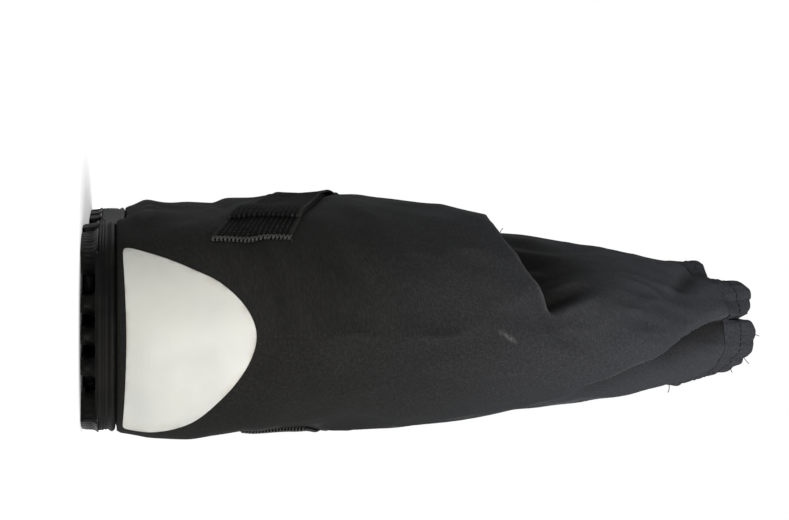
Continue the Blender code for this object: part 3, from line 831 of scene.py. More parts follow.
def crease_relief(turn, height, lining):
    """Depth of all the creases, how far they draw the cloth across and up, and the folds' crests and depth.

    A plain crease is a bell left of its line and half a soft step right of it, eased at its ends. A fold
    steps in softly from its line, with a bell to recover, and draws the cloth back by another soft step,
    which ends below the collar. In the lining a fold steps in earlier, so that the folded cloth stays
    outside it.
    """
    depth, across_tuck, up_tuck, crest, fold = np.zeros((5, *height.shape))
    turn, height = wandering(turn, height)
    for crease in CREASES.values():
        along, beside, run, length = beside_line(crease, turn, height)
        ease = min(CREASE_EASE, length / 2)
        ends = smooth_step(along / ease + 0.5) * smooth_step((length - along) / ease + 0.5)
        if crease.tuck:
            step = max(FOLD_STEEPNESS * abs(crease.depth), FOLD_SHORTEST)
            lead = LINING_LEAD if lining else 0.0
            recover = bell(np.clip(beside - step, 0, None), crease.above) * ends
            sunk = crease.depth * smooth_step((beside + lead) / step) * recover
            depth += sunk
            fold += sunk
            back = crease.tuck * smooth_step(beside / max(FOLD_BACK * crease.tuck, FOLD_SHORTEST)) * recover
            back *= smooth_step((TUCK_END - height) / TUCK_FADE)
            across_tuck -= back * run[1]
            up_tuck += back * run[0]
            crest = np.maximum(crest, bell(beside, CREST_WIDTH) * ends)
        else:
            right = smooth_step(1 + beside / (2 * crease.below))
            depth += crease.depth * ends * np.where(beside > 0, bell(beside, crease.above), right)
    return depth, across_tuck, up_tuck, crest, fold


def crumple(angle, height):
    """A level less the size of a sum of drawn cosines of equal steepness: creased where it is nought."""
    draw = np.random.default_rng(CRUMPLE_SEED)
    counts = draw.integers(*CRUMPLE_COUNTS, CRUMPLE_WAVES)
    climbs = TURN / draw.uniform(*CRUMPLE_LENGTHS, CRUMPLE_WAVES) * draw.choice([-1.0, 1.0], CRUMPLE_WAVES)
    starts = draw.uniform(0, TURN, CRUMPLE_WAVES)
    weights = 1 / np.hypot(counts / RADIAN_WIDTH, climbs)
    weights /= np.sqrt((weights**2).sum() / 2)
    total = sum(
        weight * np.cos(count * angle + climb * height + start)
        for weight, count, climb, start in zip(weights, counts, climbs, starts)
    )
    return CRUMPLE_DEPTH * (CRUMPLE_LEVEL - np.sqrt(total**2 + CRUMPLE_SHARPNESS))


HEEL_CALM_TURN = 52.0
HEEL_CALM_TOP = 74.0
CALM_FADE = 30.0
BOND_CLEAR = 1.0
BOND_FADE = 12.0
HOLLOW_DEPTH = 7.0
HOLLOW_CALM = 0.8
# Painted shade: the depth over which a hollow loses the painted light and highlights
HOLLOW_DARK = 12.0
# Painted shade: the fold depth over which the cloth darkens to the fold's painted shade
FOLD_DARK = 9.0


def cloth_relief(grid, angle, lining):
    """Depth out of the plain upper, how far it is drawn across and up, and the folds' crests and depth.

    Creases, gathers, slack, crumple and the strap's pull. The crumple is calmer on the stiff heel and in the
    hollows, and all of it fades out over the lip above the sole's wall, where the cloth is bonded.
    """
    height = grid[..., 2]
    turn = np.degrees(angle)[None] + 0 * height
    depth, across_tuck, up_tuck, crest, fold = crease_relief(turn, height, lining)
    hollow = smooth_step(-depth / HOLLOW_DEPTH)
    depth += collar_gathers(angle[None], np.clip(HEM_BOTTOM - height, 0, None))
    for slack in SLACKS:
        wave = np.sin(slack.around * angle[None] + slack.start)
        depth += slack.depth * wave * np.sin(TURN * height / slack.height + slack.start)
    heel = bell(either_way(turn), HEEL_CALM_TURN) * smooth_step((HEEL_CALM_TOP - height) / CALM_FADE + 1)
    depth += crumple(angle[None], height) * (1 - heel) * (1 - HOLLOW_CALM * hollow)
    strap = strap_across(grid)
    sides = 1 - smooth_step((np.cos(angle)[None] - CINCH_BACK) / CINCH_FADE)
    roll = bell(np.abs(strap) - CINCH_ROLL_AT, CINCH_ROLL_WIDTH)
    depth += sides * (CINCH_ROLL * roll - STRAP_CINCH * bell(strap, CINCH_WIDTH))
    free = smooth_step((height - RIM_HEIGHT - rim_rise(grid[..., 1]) - BOND_CLEAR) / BOND_FADE)
    return depth * free, across_tuck * free, up_tuck * free, crest, fold


BUCKLE_HEIGHT = 192.0
BUCKLE_REACH = 22.0
BUCKLE_DENSITY = 2.2
FINE_LEVELS = 2000
LEVEL_COLUMNS = 8


def upper_levels(count):
    """Levels at even steps up the boot, closer together about the buckle."""
    fine = np.linspace(0, TOP_LEVEL, FINE_LEVELS)
    grid = upper_surface(fine, even_angles(LEVEL_COLUMNS))
    step = np.linalg.norm(np.diff(grid, axis=0), axis=-1).mean(axis=1)
    height = grid[1:, :, 2].mean(axis=1)
    density = 1 + BUCKLE_DENSITY * bell(height - BUCKLE_HEIGHT, BUCKLE_REACH)
    way = np.append(0, np.cumsum(step * density))
    return np.interp(np.linspace(0, way[-1], count), way, fine)


def wrinkled(levels, angle):
    """The upper moved along its plain normals by its relief's depth, and drawn across and down.

    The relief's depth, and the crests of the folds and their depth, come with it.
    """
    plain = upper_surface(levels, angle)
    depth, across_tuck, up_tuck, crest, fold = cloth_relief(plain, angle, False)
    around = unit(np.roll(plain, -1, axis=1) - np.roll(plain, 1, axis=1))
    climb = unit(np.gradient(plain, axis=0))
    moved = plain + depth[..., None] * surface_normals(plain)
    moved -= across_tuck[..., None] * around + up_tuck[..., None] * climb
    return moved, depth, crest, fold


def lined(levels, angle):
    """The inside of the upper: the plain surface moved by the lining's relief, less the fabric's wall."""
    plain = upper_surface(levels, angle)
    depth = cloth_relief(plain, angle, True)[0]
    return plain + (depth - FABRIC_WALL)[..., None] * surface_normals(plain)


CLOTH_MAP = "cloth_mm"


def lay_cloth(mesh, loops, faces):
    """Writes a UV map in millimetres of cloth, round and up a grid of loops, cut at its first column."""
    closed = np.concatenate([loops, loops[:, :1]], axis=1)
    around = np.cumsum(np.linalg.norm(np.diff(closed, axis=1), axis=-1), axis=1)
    climb = np.cumsum(np.linalg.norm(np.diff(closed, axis=0), axis=-1), axis=0)
    flat = np.stack([np.pad(around, ((0, 0), (1, 0))), np.pad(climb, ((1, 0), (0, 0)))], axis=-1)
    corners = flat[:-1, :-1], flat[:-1, 1:], flat[1:, 1:], flat[1:, :-1]
    quads = np.stack(corners, axis=2).reshape(-1, 4, 2)
    laid = np.zeros((faces, 4, 2), np.float32)
    laid[: len(quads)] = quads
    mesh.uv_layers.new(name=CLOTH_MAP).uv.foreach_set("vector", laid.ravel())


def write_mask(mesh, name, values):
    """Writes one value for each vertex as a float attribute, which the material reads by name."""
    mesh.attributes.new(name, "FLOAT", "POINT").data.foreach_set("value", values.astype(np.float32).ravel())


def read_mask(tree, name):
    """Output of an Attribute node that reads a float attribute."""
    return put(tree, "ShaderNodeAttribute", {}, attribute_name=name).outputs["Fac"]


WARP_SCALE = (2.4, 0.35, 1.0)
WEFT_SCALE = (0.35, 2.4, 1.0)
GRAIN_SCALE = 0.9
GRAIN_SHARE = 0.8
BLOTCH_RANGE = (0.35, 0.7)


def coated_weave_group():
    """Coated weave on a map in millimetres: noise drawn out along both threads, and coating blotches."""
    group, given, put_out = shader_group("coated_weave", "Blotch Scale", "Height", "Blotch")
    threads = []
    for scale in (WARP_SCALE, WEFT_SCALE):
        drawn_out = put(group, "ShaderNodeMapping", {"Vector": given["Vector"], "Scale": scale}).outputs[0]
        threads.append(noise(group, drawn_out, 1.0, detail=1.0))
    crossing = calculate(group, "MAXIMUM", *threads)
    fine = noise(group, given["Vector"], GRAIN_SCALE, detail=4.0)
    grain = calculate(group, "MULTIPLY", fine, GRAIN_SHARE)
    group.links.new(calculate(group, "ADD", crossing, grain), put_out["Height"])
    blotches = noise(group, given["Vector"], given["Blotch Scale"], detail=6.0)
    group.links.new(ramp(group, blotches, *BLOTCH_RANGE), put_out["Blotch"])
    return group


WEAVE_GROUP = coated_weave_group()
BLOTCH_SCALE = 0.03
FABRIC_BLACK = (0.0112, 0.0112, 0.0104, 1.0)
FABRIC_BLOTCH = (0.0152, 0.0151, 0.0141, 1.0)
# Painted light: the blue-grey the leg takes on towards the collar, a sky light painted into its colour
FABRIC_PAINTED_LIGHT = (0.0360, 0.0370, 0.0420, 1.0)
# Lighter ridges and fold crests: partly wear from rubbing, partly a painted highlight
FABRIC_RUBBED_HIGHLIGHT = (0.0520, 0.0525, 0.0545, 1.0)
# Painted shade: the darker colour painted into the buckle's fold
FABRIC_FOLD_SHADE = (0.0052, 0.0052, 0.0050, 1.0)
SCUFF_GREY = (0.0780, 0.0780, 0.0765, 1.0)
SHEEN_BLUE = (0.80, 0.86, 1.0, 1.0)
GRAIN_RANGE = (0.8, 1.2)
GRAIN_SHADES = (0.85, 1.40)
CLOTH_ROUGHNESS = (0.78, 0.88)
STREAK_SCALE = 0.5
STREAK_RANGE = (0.3, 0.6)


def place_weave(tree):
    """The cloth map, the weave's outputs on it, and its grain as a shade of the colour."""
    cloth_map = put(tree, "ShaderNodeUVMap", {}, uv_map=CLOTH_MAP).outputs[0]
    sockets = {"Vector": cloth_map, "Blotch Scale": BLOTCH_SCALE}
    weave = put(tree, "ShaderNodeGroup", sockets, node_tree=WEAVE_GROUP).outputs
    return cloth_map, weave, ramp(tree, weave["Height"], *GRAIN_RANGE, *GRAIN_SHADES)


def upper_material():
    """Black coated fabric, painted light blue-grey up the leg and lighter along its creases, with one pale
    scuff.

    The lighter creases are partly wear and partly painted highlight; in its folds and hollows it is darkened
    by painted shade.
    """
    plain = {"Sheen_Weight": 0.01, "Sheen_Roughness": 0.5, "Sheen_Tint": SHEEN_BLUE}
    material, tree, shader = new_material("coated_fabric", Specular_IOR_Level=0.05, **plain)
    cloth_map, weave, grain = place_weave(tree)
    colour = tint(tree, weave["Blotch"], FABRIC_BLACK, FABRIC_BLOTCH)
    for mask, marked in (("leg_painted_light", FABRIC_PAINTED_LIGHT), ("fold_painted_shade", FABRIC_FOLD_SHADE), ("rubbed_highlight", FABRIC_RUBBED_HIGHLIGHT)):
        colour = tint(tree, read_mask(tree, mask), colour, marked)
    streaky = ramp(tree, noise(tree, cloth_map, STREAK_SCALE, detail=4.0), *STREAK_RANGE)
    worn = calculate(tree, "MULTIPLY", read_mask(tree, "scuff"), streaky)
    colour = shade(tree, tint(tree, worn, colour, SCUFF_GREY), grain)
    roughness = ramp(tree, weave["Blotch"], 0.0, 1.0, *CLOTH_ROUGHNESS)
    connect(tree, shader, Base_Color=colour, Roughness=roughness)
    rough_up(tree, shader, weave["Height"], depth=0.12, strength=0.5)
    return material


SCUFF = Crease(0.0, 170.0, 7.0, 181.0, 1.0, 1.0, 1.0, 0.0)
SCUFF_START = 0.4
SCUFF_END = 0.3


def scuff_mask(grid, angle):
    """A short pale rub across the back of the leg: a bell about a line, as a crease has."""
    along, beside, _, length = beside_line(SCUFF, np.degrees(angle)[None], grid[..., 2])
    share = along / length
    ends = smooth_step(share / SCUFF_START) * smooth_step((1 - share) / SCUFF_END)
    return bell(beside, SCUFF.above) * ends


upper_angles = even_angles(AROUND_UPPER)
cloth_levels = upper_levels(ROWS_UPPER)
cloth, cloth_depth, cloth_crest, cloth_fold = wrinkled(cloth_levels, upper_angles)
cloth_normals = surface_normals(cloth)


# Ridges and fold crests are made lighter: partly wear from rubbing, partly a painted highlight
RIDGE_REACH = 3
RIDGE_FROM = 0.12
RIDGE_FADE = 0.9
RIDGE_RUB_HIGHLIGHT = 0.45
CREST_RUB_HIGHLIGHT = 0.75
# Painted light fades in from this height and is full blue-grey at the collar
PAINTED_LIGHT_START = 60.0
PAINTED_LIGHT_FULL = 330.0


def ridge_rub_highlight_mask(depth):
    """Where the relief stands above its neighbours: the depth less its average over nearby grid points."""
    steps = [step for step in range(-RIDGE_REACH, RIDGE_REACH + 1) if step]
    around = sum(np.roll(depth, step, axis=1) for step in steps)
    padded = np.pad(depth, ((RIDGE_REACH, RIDGE_REACH), (0, 0)), mode="edge")
    up = sum(padded[RIDGE_REACH + step : RIDGE_REACH + step + len(depth)] for step in steps)
    return smooth_step((depth - (around + up) / (2 * len(steps)) - RIDGE_FROM) / RIDGE_FADE)


def make_upper():
    """Outside loops, and inside loops a wall's thickness behind, closed over the collar and at the seat."""
    lining_levels = np.append(cloth_levels[:-1:LINING_STEP], TOP_LEVEL)
    inside = lined(lining_levels, upper_angles)[::-1]
    inside[-1, :, 2], inside[0, :, 2] = cloth[0, :, 2], cloth[-1, :, 2]
    loops = np.concatenate([cloth, inside])
    faces = grid_faces(len(loops), AROUND_UPPER, True)
    upper = make_piece("upper_boot", loops.reshape(-1, 3), faces, upper_material())
    lay_cloth(upper.data, loops, len(faces))
    # Painted light: blue-grey painted up the leg, held back in the hollows
    leg_painted_light = smooth_step((cloth[..., 2] - PAINTED_LIGHT_START) / (PAINTED_LIGHT_FULL - PAINTED_LIGHT_START))
    # Painted shade: 1 on open cloth, falling to 0 deep in the hollows, where the painted light and
    # highlights are taken away
    out_of_hollow = smooth_step(1 + cloth_depth / HOLLOW_DARK)
    ridges = RIDGE_RUB_HIGHLIGHT * ridge_rub_highlight_mask(cloth_depth) * out_of_hollow
    masks = {
        "leg_painted_light": leg_painted_light * out_of_hollow,
        # Lighter ridges and crests: partly wear, partly painted highlight
        "rubbed_highlight": np.maximum(ridges, CREST_RUB_HIGHLIGHT * cloth_crest),
        # Painted shade in the folds, by how deep they are sunk
        "fold_painted_shade": smooth_step(-cloth_fold / FOLD_DARK),
        "scuff": scuff_mask(cloth, upper_angles),
    }
    for name, mask in masks.items():
        write_mask(upper.data, name, np.concatenate([mask, np.zeros(inside.shape[:2])]))
    return upper


upper = make_upper()
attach(upper, "root")
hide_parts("upper")


def on_upper(field, angle, value, lift):
    """Points over the cloth, and the cloth's normals there.

    Along the grid column at each angle, the place where the field reaches the value, read by straight lines
    between grid points, and moved out along the normal by the lift.
    """
    angle, value, lift = np.broadcast_arrays(angle, value, lift)
    shape = angle.shape
    angle, value, lift = angle.ravel(), value.ravel(), lift.ravel()
    place = angle / TURN * AROUND_UPPER % AROUND_UPPER
    left = place.astype(int) % AROUND_UPPER
    right = (left + 1) % AROUND_UPPER
    share = place % 1
    column = field[:, left] * (1 - share) + field[:, right] * share
    row = np.clip((column < value).sum(axis=0) - 1, 0, len(field) - 2)
    pick = np.arange(len(row))
    climb = ((value - column[row, pick]) / (column[row + 1, pick] - column[row, pick]))[:, None]
    share = share[:, None]

    def read(grid):
        """The grid there: between its columns, and then between its rows."""
        low = grid[row, left] * (1 - share) + grid[row, right] * share
        high = grid[row + 1, left] * (1 - share) + grid[row + 1, right] * share
        return low * (1 - climb) + high * climb

    normal = unit(read(cloth_normals))
    return (read(cloth) + lift[:, None] * normal).reshape(*shape, 3), normal.reshape(*shape, 3)


# Reflective heel panel
# Off-white retroreflective film, cut to a rounded tongue with an almost straight foot and heat-bonded to
# the back of the heel just above the sole. Its beads give it a fine even grain.

PANEL_FOOT = 15.0
PANEL_HEIGHT = 48.0
PANEL_HALF_TURN = 33.5
PANEL_MIDDLE = 1.0
PANEL_SHOULDER = 1.9
PANEL_ROUNDNESS = 0.55
PANEL_FLARE = 0.06
PANEL_FULLNESS = 0.03
PANEL_FOOT_CURVE = 1.2
PANEL_SIDE_POINTS = 160
PANEL_FOOT_POINTS = 80
PANEL_SOFTENINGS = 12
PANEL_EDGE_POINTS = 360
PANEL_THICKNESS = 0.45
PANEL_STAND_OFF = 0.06
PANEL_EDGE_DROP = 0.15
PANEL_MIDDLE_SHARE = 0.42
PANEL_GRIME_FROM = 0.93
PANEL_GRIME_WIDTH = 0.07
PANEL_SHARES = np.concatenate([np.linspace(0.0, 0.9, 30), [0.955, 0.985, 0.996]])


def panel_outline():
    """Turns and heights round the tongue: its half width is (1 - h^shoulder)^roundness at height share h.

    A half sine of h flares the outer side in and fills the inner side out. The foot joins the two sides
    with a shallow half sine, and averages with the neighbours round the corners.
    """
    rise = np.sin(np.linspace(0, np.pi / 2, PANEL_SIDE_POINTS))
    half = (1 - rise**PANEL_SHOULDER) ** PANEL_ROUNDNESS
    inner = half + PANEL_FULLNESS * np.sin(np.pi * rise)
    outer = half - PANEL_FLARE * np.sin(np.pi * rise)
    foot = np.linspace(-1, 1, PANEL_FOOT_POINTS)[1:-1]
    across = np.concatenate([foot, inner, -outer[-2::-1]]) * PANEL_HALF_TURN * DEGREE_WIDTH
    dip = PANEL_FOOT_CURVE * np.cos(foot * np.pi / 2)
    up = np.concatenate([dip, rise * PANEL_HEIGHT, rise[-2::-1] * PANEL_HEIGHT])
    loop = softened(np.column_stack([across, up]), PANEL_EDGE_POINTS, PANEL_SOFTENINGS)
    return loop[:, 0] / DEGREE_WIDTH + PANEL_MIDDLE, loop[:, 1] + PANEL_FOOT


FILM_WHITE = (0.518, 0.518, 0.476, 1.0)
FILM_SHADE = (0.466, 0.470, 0.448, 1.0)
FILM_GRIME = (0.36, 0.34, 0.30, 1.0)
CLOUD_SCALE = 38.0
CLOUD_RANGE = (0.4, 0.75)
BEAD_SCALE = 2600.0
GRIME_SCALE = 160.0
GRIME_RANGE = (0.35, 0.7)
FILM_ROUGHNESS = (0.42, 0.55)


def film_material():
    """Beaded film: off-white with faint clouds, a fine bead grain and a little grime along its edge."""
    material, tree, shader = new_material("reflective_film", Specular_IOR_Level=0.45)
    place = object_place(tree)
    clouds = ramp(tree, noise(tree, place, CLOUD_SCALE, detail=4.0), *CLOUD_RANGE)
    beads = put(tree, "ShaderNodeTexVoronoi", {"Vector": place, "Scale": BEAD_SCALE}).outputs["Distance"]
    patches = ramp(tree, noise(tree, place, GRIME_SCALE), *GRIME_RANGE)
    grimed = calculate(tree, "MULTIPLY", read_mask(tree, "film_edge"), patches)
    colour = tint(tree, grimed, tint(tree, clouds, FILM_WHITE, FILM_SHADE), FILM_GRIME)
    connect(tree, shader, Base_Color=colour, Roughness=ramp(tree, clouds, 0.0, 1.0, *FILM_ROUGHNESS))
    rough_up(tree, shader, beads, depth=0.06, strength=0.35)
    return material


def make_panel():
    """The outline shrunk to its middle in shares, laid on the cloth; a thin edge joins its two faces."""
    turn, height = panel_outline()
    middle_turn, middle_height = turn.mean(), PANEL_FOOT + PANEL_HEIGHT * PANEL_MIDDLE_SHARE
    shares = np.concatenate([PANEL_SHARES, [1.0, 1.0], PANEL_SHARES[::-1]])[1:-1, None]
    lifts = np.full(len(shares), PANEL_STAND_OFF)
    outer = len(PANEL_SHARES)
    lifts[:outer] = PANEL_STAND_OFF + PANEL_THICKNESS
    lifts[outer - 1] -= PANEL_EDGE_DROP
    angles = np.radians(middle_turn + (turn - middle_turn) * shares)
    heights = middle_height + (height - middle_height) * shares
    points, _ = on_upper(cloth[..., 2], angles, heights, lifts[:, None])
    ends, _ = on_upper(cloth[..., 2], np.radians(middle_turn), middle_height, lifts[[0, -1]])
    count = len(turn)
    faces = np.array(grid_faces(len(points), count, False))[:, ::-1].tolist()
    first = np.arange(count)
    last = (len(points) - 1) * count + first
    tip = len(points) * count
    faces += fan(first, tip).tolist() + fan(last, tip + 1)[:, [1, 0, 2]].tolist()
    panel = make_piece("heel_panel", np.vstack([points.reshape(-1, 3), ends]), faces, film_material())
    edge = smooth_step((shares - PANEL_GRIME_FROM) / PANEL_GRIME_WIDTH)
    write_mask(panel.data, "film_edge", np.append(np.repeat(edge, count), np.zeros(len(ends))))
    return panel


panel = make_panel()
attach(panel, "root")

# Strap patch and ankle strap
# Hook-and-loop tape: a loop patch sewn to the outer side of the ankle, and the strap, sewn on at the inner
# side, which goes over the front of the ankle and presses onto the patch. Both have woven selvedges.

STRAP_WIDTH = 28.0
STRAP_THICKNESS = 1.4
STRAP_ROOT_ALONG = 40.0
STRAP_END_ALONG = 26.0
PATCH_THICKNESS = 1.0
PATCH_BACK_ALONG = 10.0
PATCH_FRONT_ALONG = 78.0
STEP_OVER = 9.0
STEP_LEAD = 1.6
STRAP_GAP = 0.45
TAPE_STATIONS = 260
PATCH_STATIONS = 86
TAPE_SECTION = 56
TAPE_SQUARENESS = 0.22
TAPE_FLATNESS = 0.45
SEARCH_MARGIN = 0.1
SEARCH_STEPS = 200

strap_field = strap_across(cloth)


def strap_angle(along, inner):
    """Angle where the strap's middle passes a distance along the foot, on the inner or the outer side."""
    fine = np.linspace(SEARCH_MARGIN, np.pi - SEARCH_MARGIN, SEARCH_STEPS)
    fine = fine if inner else TURN - fine
    points, _ = on_upper(strap_field, fine, 0.0, 0.0)
    return np.interp(along, points[:, 1], fine)


def tape_section(thickness):
    """Round a tape's section: a superellipse, flat on both faces, rounded at the selvedges."""
    angle = even_angles(TAPE_SECTION)
    across = STRAP_WIDTH / 2 * np.sign(np.cos(angle)) * np.abs(np.cos(angle)) ** TAPE_SQUARENESS
    lift = thickness / 2 * (1 + np.sign(np.sin(angle)) * np.abs(np.sin(angle)) ** TAPE_FLATNESS)
    return across, lift


def make_tape(name, angles, stand_off, thickness, material):
    """The section carried round the ankle on the cloth at the stand-off, with both ends closed.

    Its cloth map has millimetres along it and across it at each corner of its faces.
    """
    across, lift = tape_section(thickness)
    points, _ = on_upper(strap_field, angles[:, None], across[None], stand_off[:, None] + lift[None])
    faces = grid_faces(len(angles), TAPE_SECTION, False)
    faces += [list(range(TAPE_SECTION))[::-1]]
    faces += [list(range((len(angles) - 1) * TAPE_SECTION, len(angles) * TAPE_SECTION))]
    tape = make_piece(name, points.reshape(-1, 3), faces, material)
    row, column = np.divmod(np.concatenate(faces), TAPE_SECTION)
    flat = np.column_stack([way_along(points[:, TAPE_SECTION // 4])[row], across[column]])
    tape.data.uv_layers.new(name=CLOTH_MAP).uv.foreach_set("vector", flat.astype(np.float32).ravel())
    return tape


PILE_WANDER_SCALE = 0.35
PILE_WANDER = 1.6
FUZZ_SCALE = 2.2
SELVEDGE_FROM = 1.3
SELVEDGE_FULL = 0.8
DOT_RANGE = (0.15, 0.75)
PATCHY_SCALE = 0.9
PATCHY_RANGE = (0.3, 0.65)
DOT_HEIGHT = 0.7


def tape_pile_group():
    """Pile of a hook-and-loop tape on its map: staggered dots, their fuzz, and its plain selvedges."""
    group, given, put_out = shader_group("tape_pile", "Pitch", "Dots", "Height", "Selvedge")
    place = given["Vector"]
    split = put(group, "ShaderNodeSeparateXYZ", {0: place}).outputs
    turns = calculate(group, "DIVIDE", TURN / 2, given["Pitch"])
    wander = calculate(group, "SUBTRACT", noise(group, place, PILE_WANDER_SCALE), 0.5)
    along = calculate(group, "ADD", split["X"], calculate(group, "MULTIPLY", wander, PILE_WANDER))
    waves = []
    for operation in ("ADD", "SUBTRACT"):
        aslant = calculate(group, operation, along, split["Y"])
        waves.append(calculate(group, "SINE", calculate(group, "MULTIPLY", aslant, turns)))
    raised = ramp(group, calculate(group, "MULTIPLY", *waves), *DOT_RANGE)
    side = calculate(group, "ABSOLUTE", split["Y"])
    selvedge = ramp(group, side, STRAP_WIDTH / 2 - SELVEDGE_FROM, STRAP_WIDTH / 2 - SELVEDGE_FULL)
    dots = calculate(group, "MULTIPLY", raised, calculate(group, "SUBTRACT", 1.0, selvedge))
    patchy = ramp(group, noise(group, place, PATCHY_SCALE), *PATCHY_RANGE)
    fuzz = noise(group, place, FUZZ_SCALE, detail=3.0)
    height = calculate(group, "ADD", calculate(group, "MULTIPLY", dots, DOT_HEIGHT), fuzz)
    group.links.new(calculate(group, "MULTIPLY", dots, patchy), put_out["Dots"])
    group.links.new(height, put_out["Height"])
    group.links.new(selvedge, put_out["Selvedge"])
    return group


PILE_GROUP = tape_pile_group()
PILE_PITCH = 1.8
PILE_DEPTH = 0.6
TAPE_BLACK = (0.0036, 0.0036, 0.0035, 1.0)
TAPE_DOT = (0.0420, 0.0420, 0.0405, 1.0)
STRAP_DOT = (0.0300, 0.0300, 0.0290, 1.0)
TAPE_SELVEDGE = (0.0240, 0.0240, 0.0230, 1.0)


def tape_material(name, dot):
    """Black nylon tape with its pile's dots and lighter selvedges."""
    material, tree, shader = new_material(name, Roughness=0.85, Specular_IOR_Level=0.06)
    cloth_map = put(tree, "ShaderNodeUVMap", {}, uv_map=CLOTH_MAP).outputs[0]
    sockets = {"Vector": cloth_map, "Pitch": PILE_PITCH}
    pile = put(tree, "ShaderNodeGroup", sockets, node_tree=PILE_GROUP).outputs
    dotted = tint(tree, pile["Dots"], TAPE_BLACK, dot)
    connect(tree, shader, Base_Color=tint(tree, pile["Selvedge"], dotted, TAPE_SELVEDGE))
    rough_up(tree, shader, pile["Height"], depth=PILE_DEPTH, strength=0.8)
    return material


patch_start, patch_end = (strap_angle(along, False) for along in (PATCH_FRONT_ALONG, PATCH_BACK_ALONG))
patch_angles = np.linspace(patch_start, patch_end, PATCH_STATIONS)
patch = make_tape(
    "strap_loop_patch",
    patch_angles,
    np.full(len(patch_angles), STRAP_GAP),
    PATCH_THICKNESS,
    tape_material("loop_tape", TAPE_DOT),
)
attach(patch, "root")
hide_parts("strap_patch")

strap_root, strap_end = strap_angle(STRAP_ROOT_ALONG, True), strap_angle(STRAP_END_ALONG, False)
strap_angles = np.linspace(strap_root, strap_end, TAPE_STATIONS)
strap_over = smooth_step((strap_angles - patch_start) / np.radians(STEP_OVER) + STEP_LEAD)
strap = make_tape(
    "ankle_strap",
    strap_angles,
    STRAP_GAP + strap_over * (PATCH_THICKNESS + GAP),
    STRAP_THICKNESS,
    tape_material("strap_tape", STRAP_DOT),
)
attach(strap, "root")
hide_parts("strap")

# Collar hem
# The top of the leg turned over a flat elastic and sewn down: a soft puckered casing that straddles the
# upper's edge, rolled outwards at the outer back and standing as a flat flap at the inner back.

AROUND_HEM = 720
HEM_POINTS = 56
HEM_SOFTENINGS = 2
PUCKER_DEPTH = 0.4

# The casing's section, out from the upper's face and up from the casing's foot: a lip outside that thins out
# onto the leg, a groove where it is sewn, the fold at the top, and the turned-in cloth inside
HemPoint = namedtuple("HemPoint", "out up")
HEM_PROFILE = (
    HemPoint(0.10, 0.2),
    HemPoint(0.02, -2.8),
    HemPoint(0.02, -3.4),
    HemPoint(0.05, -2.6),
    HemPoint(0.24, 0.0),
    HemPoint(0.52, 3.0),
    HemPoint(0.68, 5.2),
    HemPoint(0.48, 6.4),
    HemPoint(0.80, 7.8),
    HemPoint(0.95, 10.0),
    HemPoint(0.80, 12.2),
    HemPoint(0.30, 13.5),
    HemPoint(-0.50, HEM_HEIGHT),
    HemPoint(-1.40, 13.3),
    HemPoint(-1.85, 11.4),
    HemPoint(-2.10, 7.0),
    HemPoint(-1.90, 1.5),
    HemPoint(-1.75, -1.5),
    HemPoint(-1.40, -1.3),
    HemPoint(-1.40, 0.2),
)

# Lumps of the casing: where, how wide, how far out at the top, how much taller, and how far the top leans
Lump = namedtuple("Lump", "turn width out lift lean")
HEM_LUMPS = (
    Lump(-29.0, 13.0, 1.8, 3.0, 2.6),
    Lump(-14.0, 3.5, -1.6, -2.2, -1.0),
    Lump(2.0, 13.0, 0.6, 5.0, 1.2),
    Lump(28.0, 18.0, 0.4, 3.0, 1.6),
    Lump(-50.0, 8.0, -2.6, -2.4, -1.5),
    Lump(62.0, 8.0, -2.2, -1.4, 0.0),
    Lump(96.0, 16.0, 1.4, 1.0, 1.0),
    Lump(128.0, 7.0, -1.6, -0.8, -0.6),
    Lump(160.0, 16.0, -0.6, 1.4, 1.2),
    Lump(-150.0, 14.0, 1.2, 0.8, 1.2),
    Lump(-118.0, 7.0, -1.8, -1.0, -0.6),
    Lump(-86.0, 14.0, 1.0, 0.6, 0.8),
)

# Puckers of the casing over its elastic: how many in a turn and how deep, as a share
Pucker = namedtuple("Pucker", "count share")
PUCKERS = (Pucker(23, 0.6), Pucker(37, 0.7), Pucker(53, 0.5), Pucker(71, 0.35))
PUCKER_PACE = 3.0
PUCKER_PACE_WAVES = 3
PUCKER_DROP = 0.3
PUCKER_FROM = 0.1
PUCKER_SPAN = 0.8
PUCKER_FADE = 0.3
PUCKER_WORN = 2.0
WORN_BEHIND = 0.5


def hem_shape(angle):
    """Sums of bells round the collar for the hem's lumps: how far out, how much taller and how it leans."""
    turn = np.degrees(angle)
    shape = np.zeros((3, len(angle)))
    for lump in HEM_LUMPS:
        near = bell(either_way(turn - lump.turn), lump.width)
        shape += np.array([lump.out, lump.lift, lump.lean])[:, None] * near
    return shape


def hem_puckers(angle):
    """Sum of skewed sines round the collar whose pace changes, calmer at the back where it is slack."""
    total = 0.0
    for pucker in PUCKERS:
        phase = pucker.count * angle + PUCKER_PACE * np.sin(PUCKER_PACE_WAVES * angle + pucker.count)
        total = total + pucker.share * np.sin(phase + GATHER_SKEW * np.sin(phase))
    return total * slack_back(angle)


# Painted light: the hem takes the leg top's painted blue-grey, lighter still where the puckers stand out and
# wear
HEM_PAINTED_LIGHT = (0.0330, 0.0338, 0.0385, 1.0)
HEM_WORN_PAINTED_LIGHT = (0.0420, 0.0430, 0.0480, 1.0)


def hem_material():
    """The upper's fabric in the leg top's painted blue-grey light, greyer where the puckers stand out."""
    material, tree, shader = new_material("hem_fabric", Specular_IOR_Level=0.05, Roughness=0.86)
    _, weave, grain = place_weave(tree)
    worn = tint(tree, read_mask(tree, "pucker_top"), HEM_PAINTED_LIGHT, HEM_WORN_PAINTED_LIGHT)
    connect(tree, shader, Base_Color=shade(tree, worn, grain))
    rough_up(tree, shader, weave["Height"], depth=0.12, strength=0.5)
    return material


COLLAR_STEP = 0.05


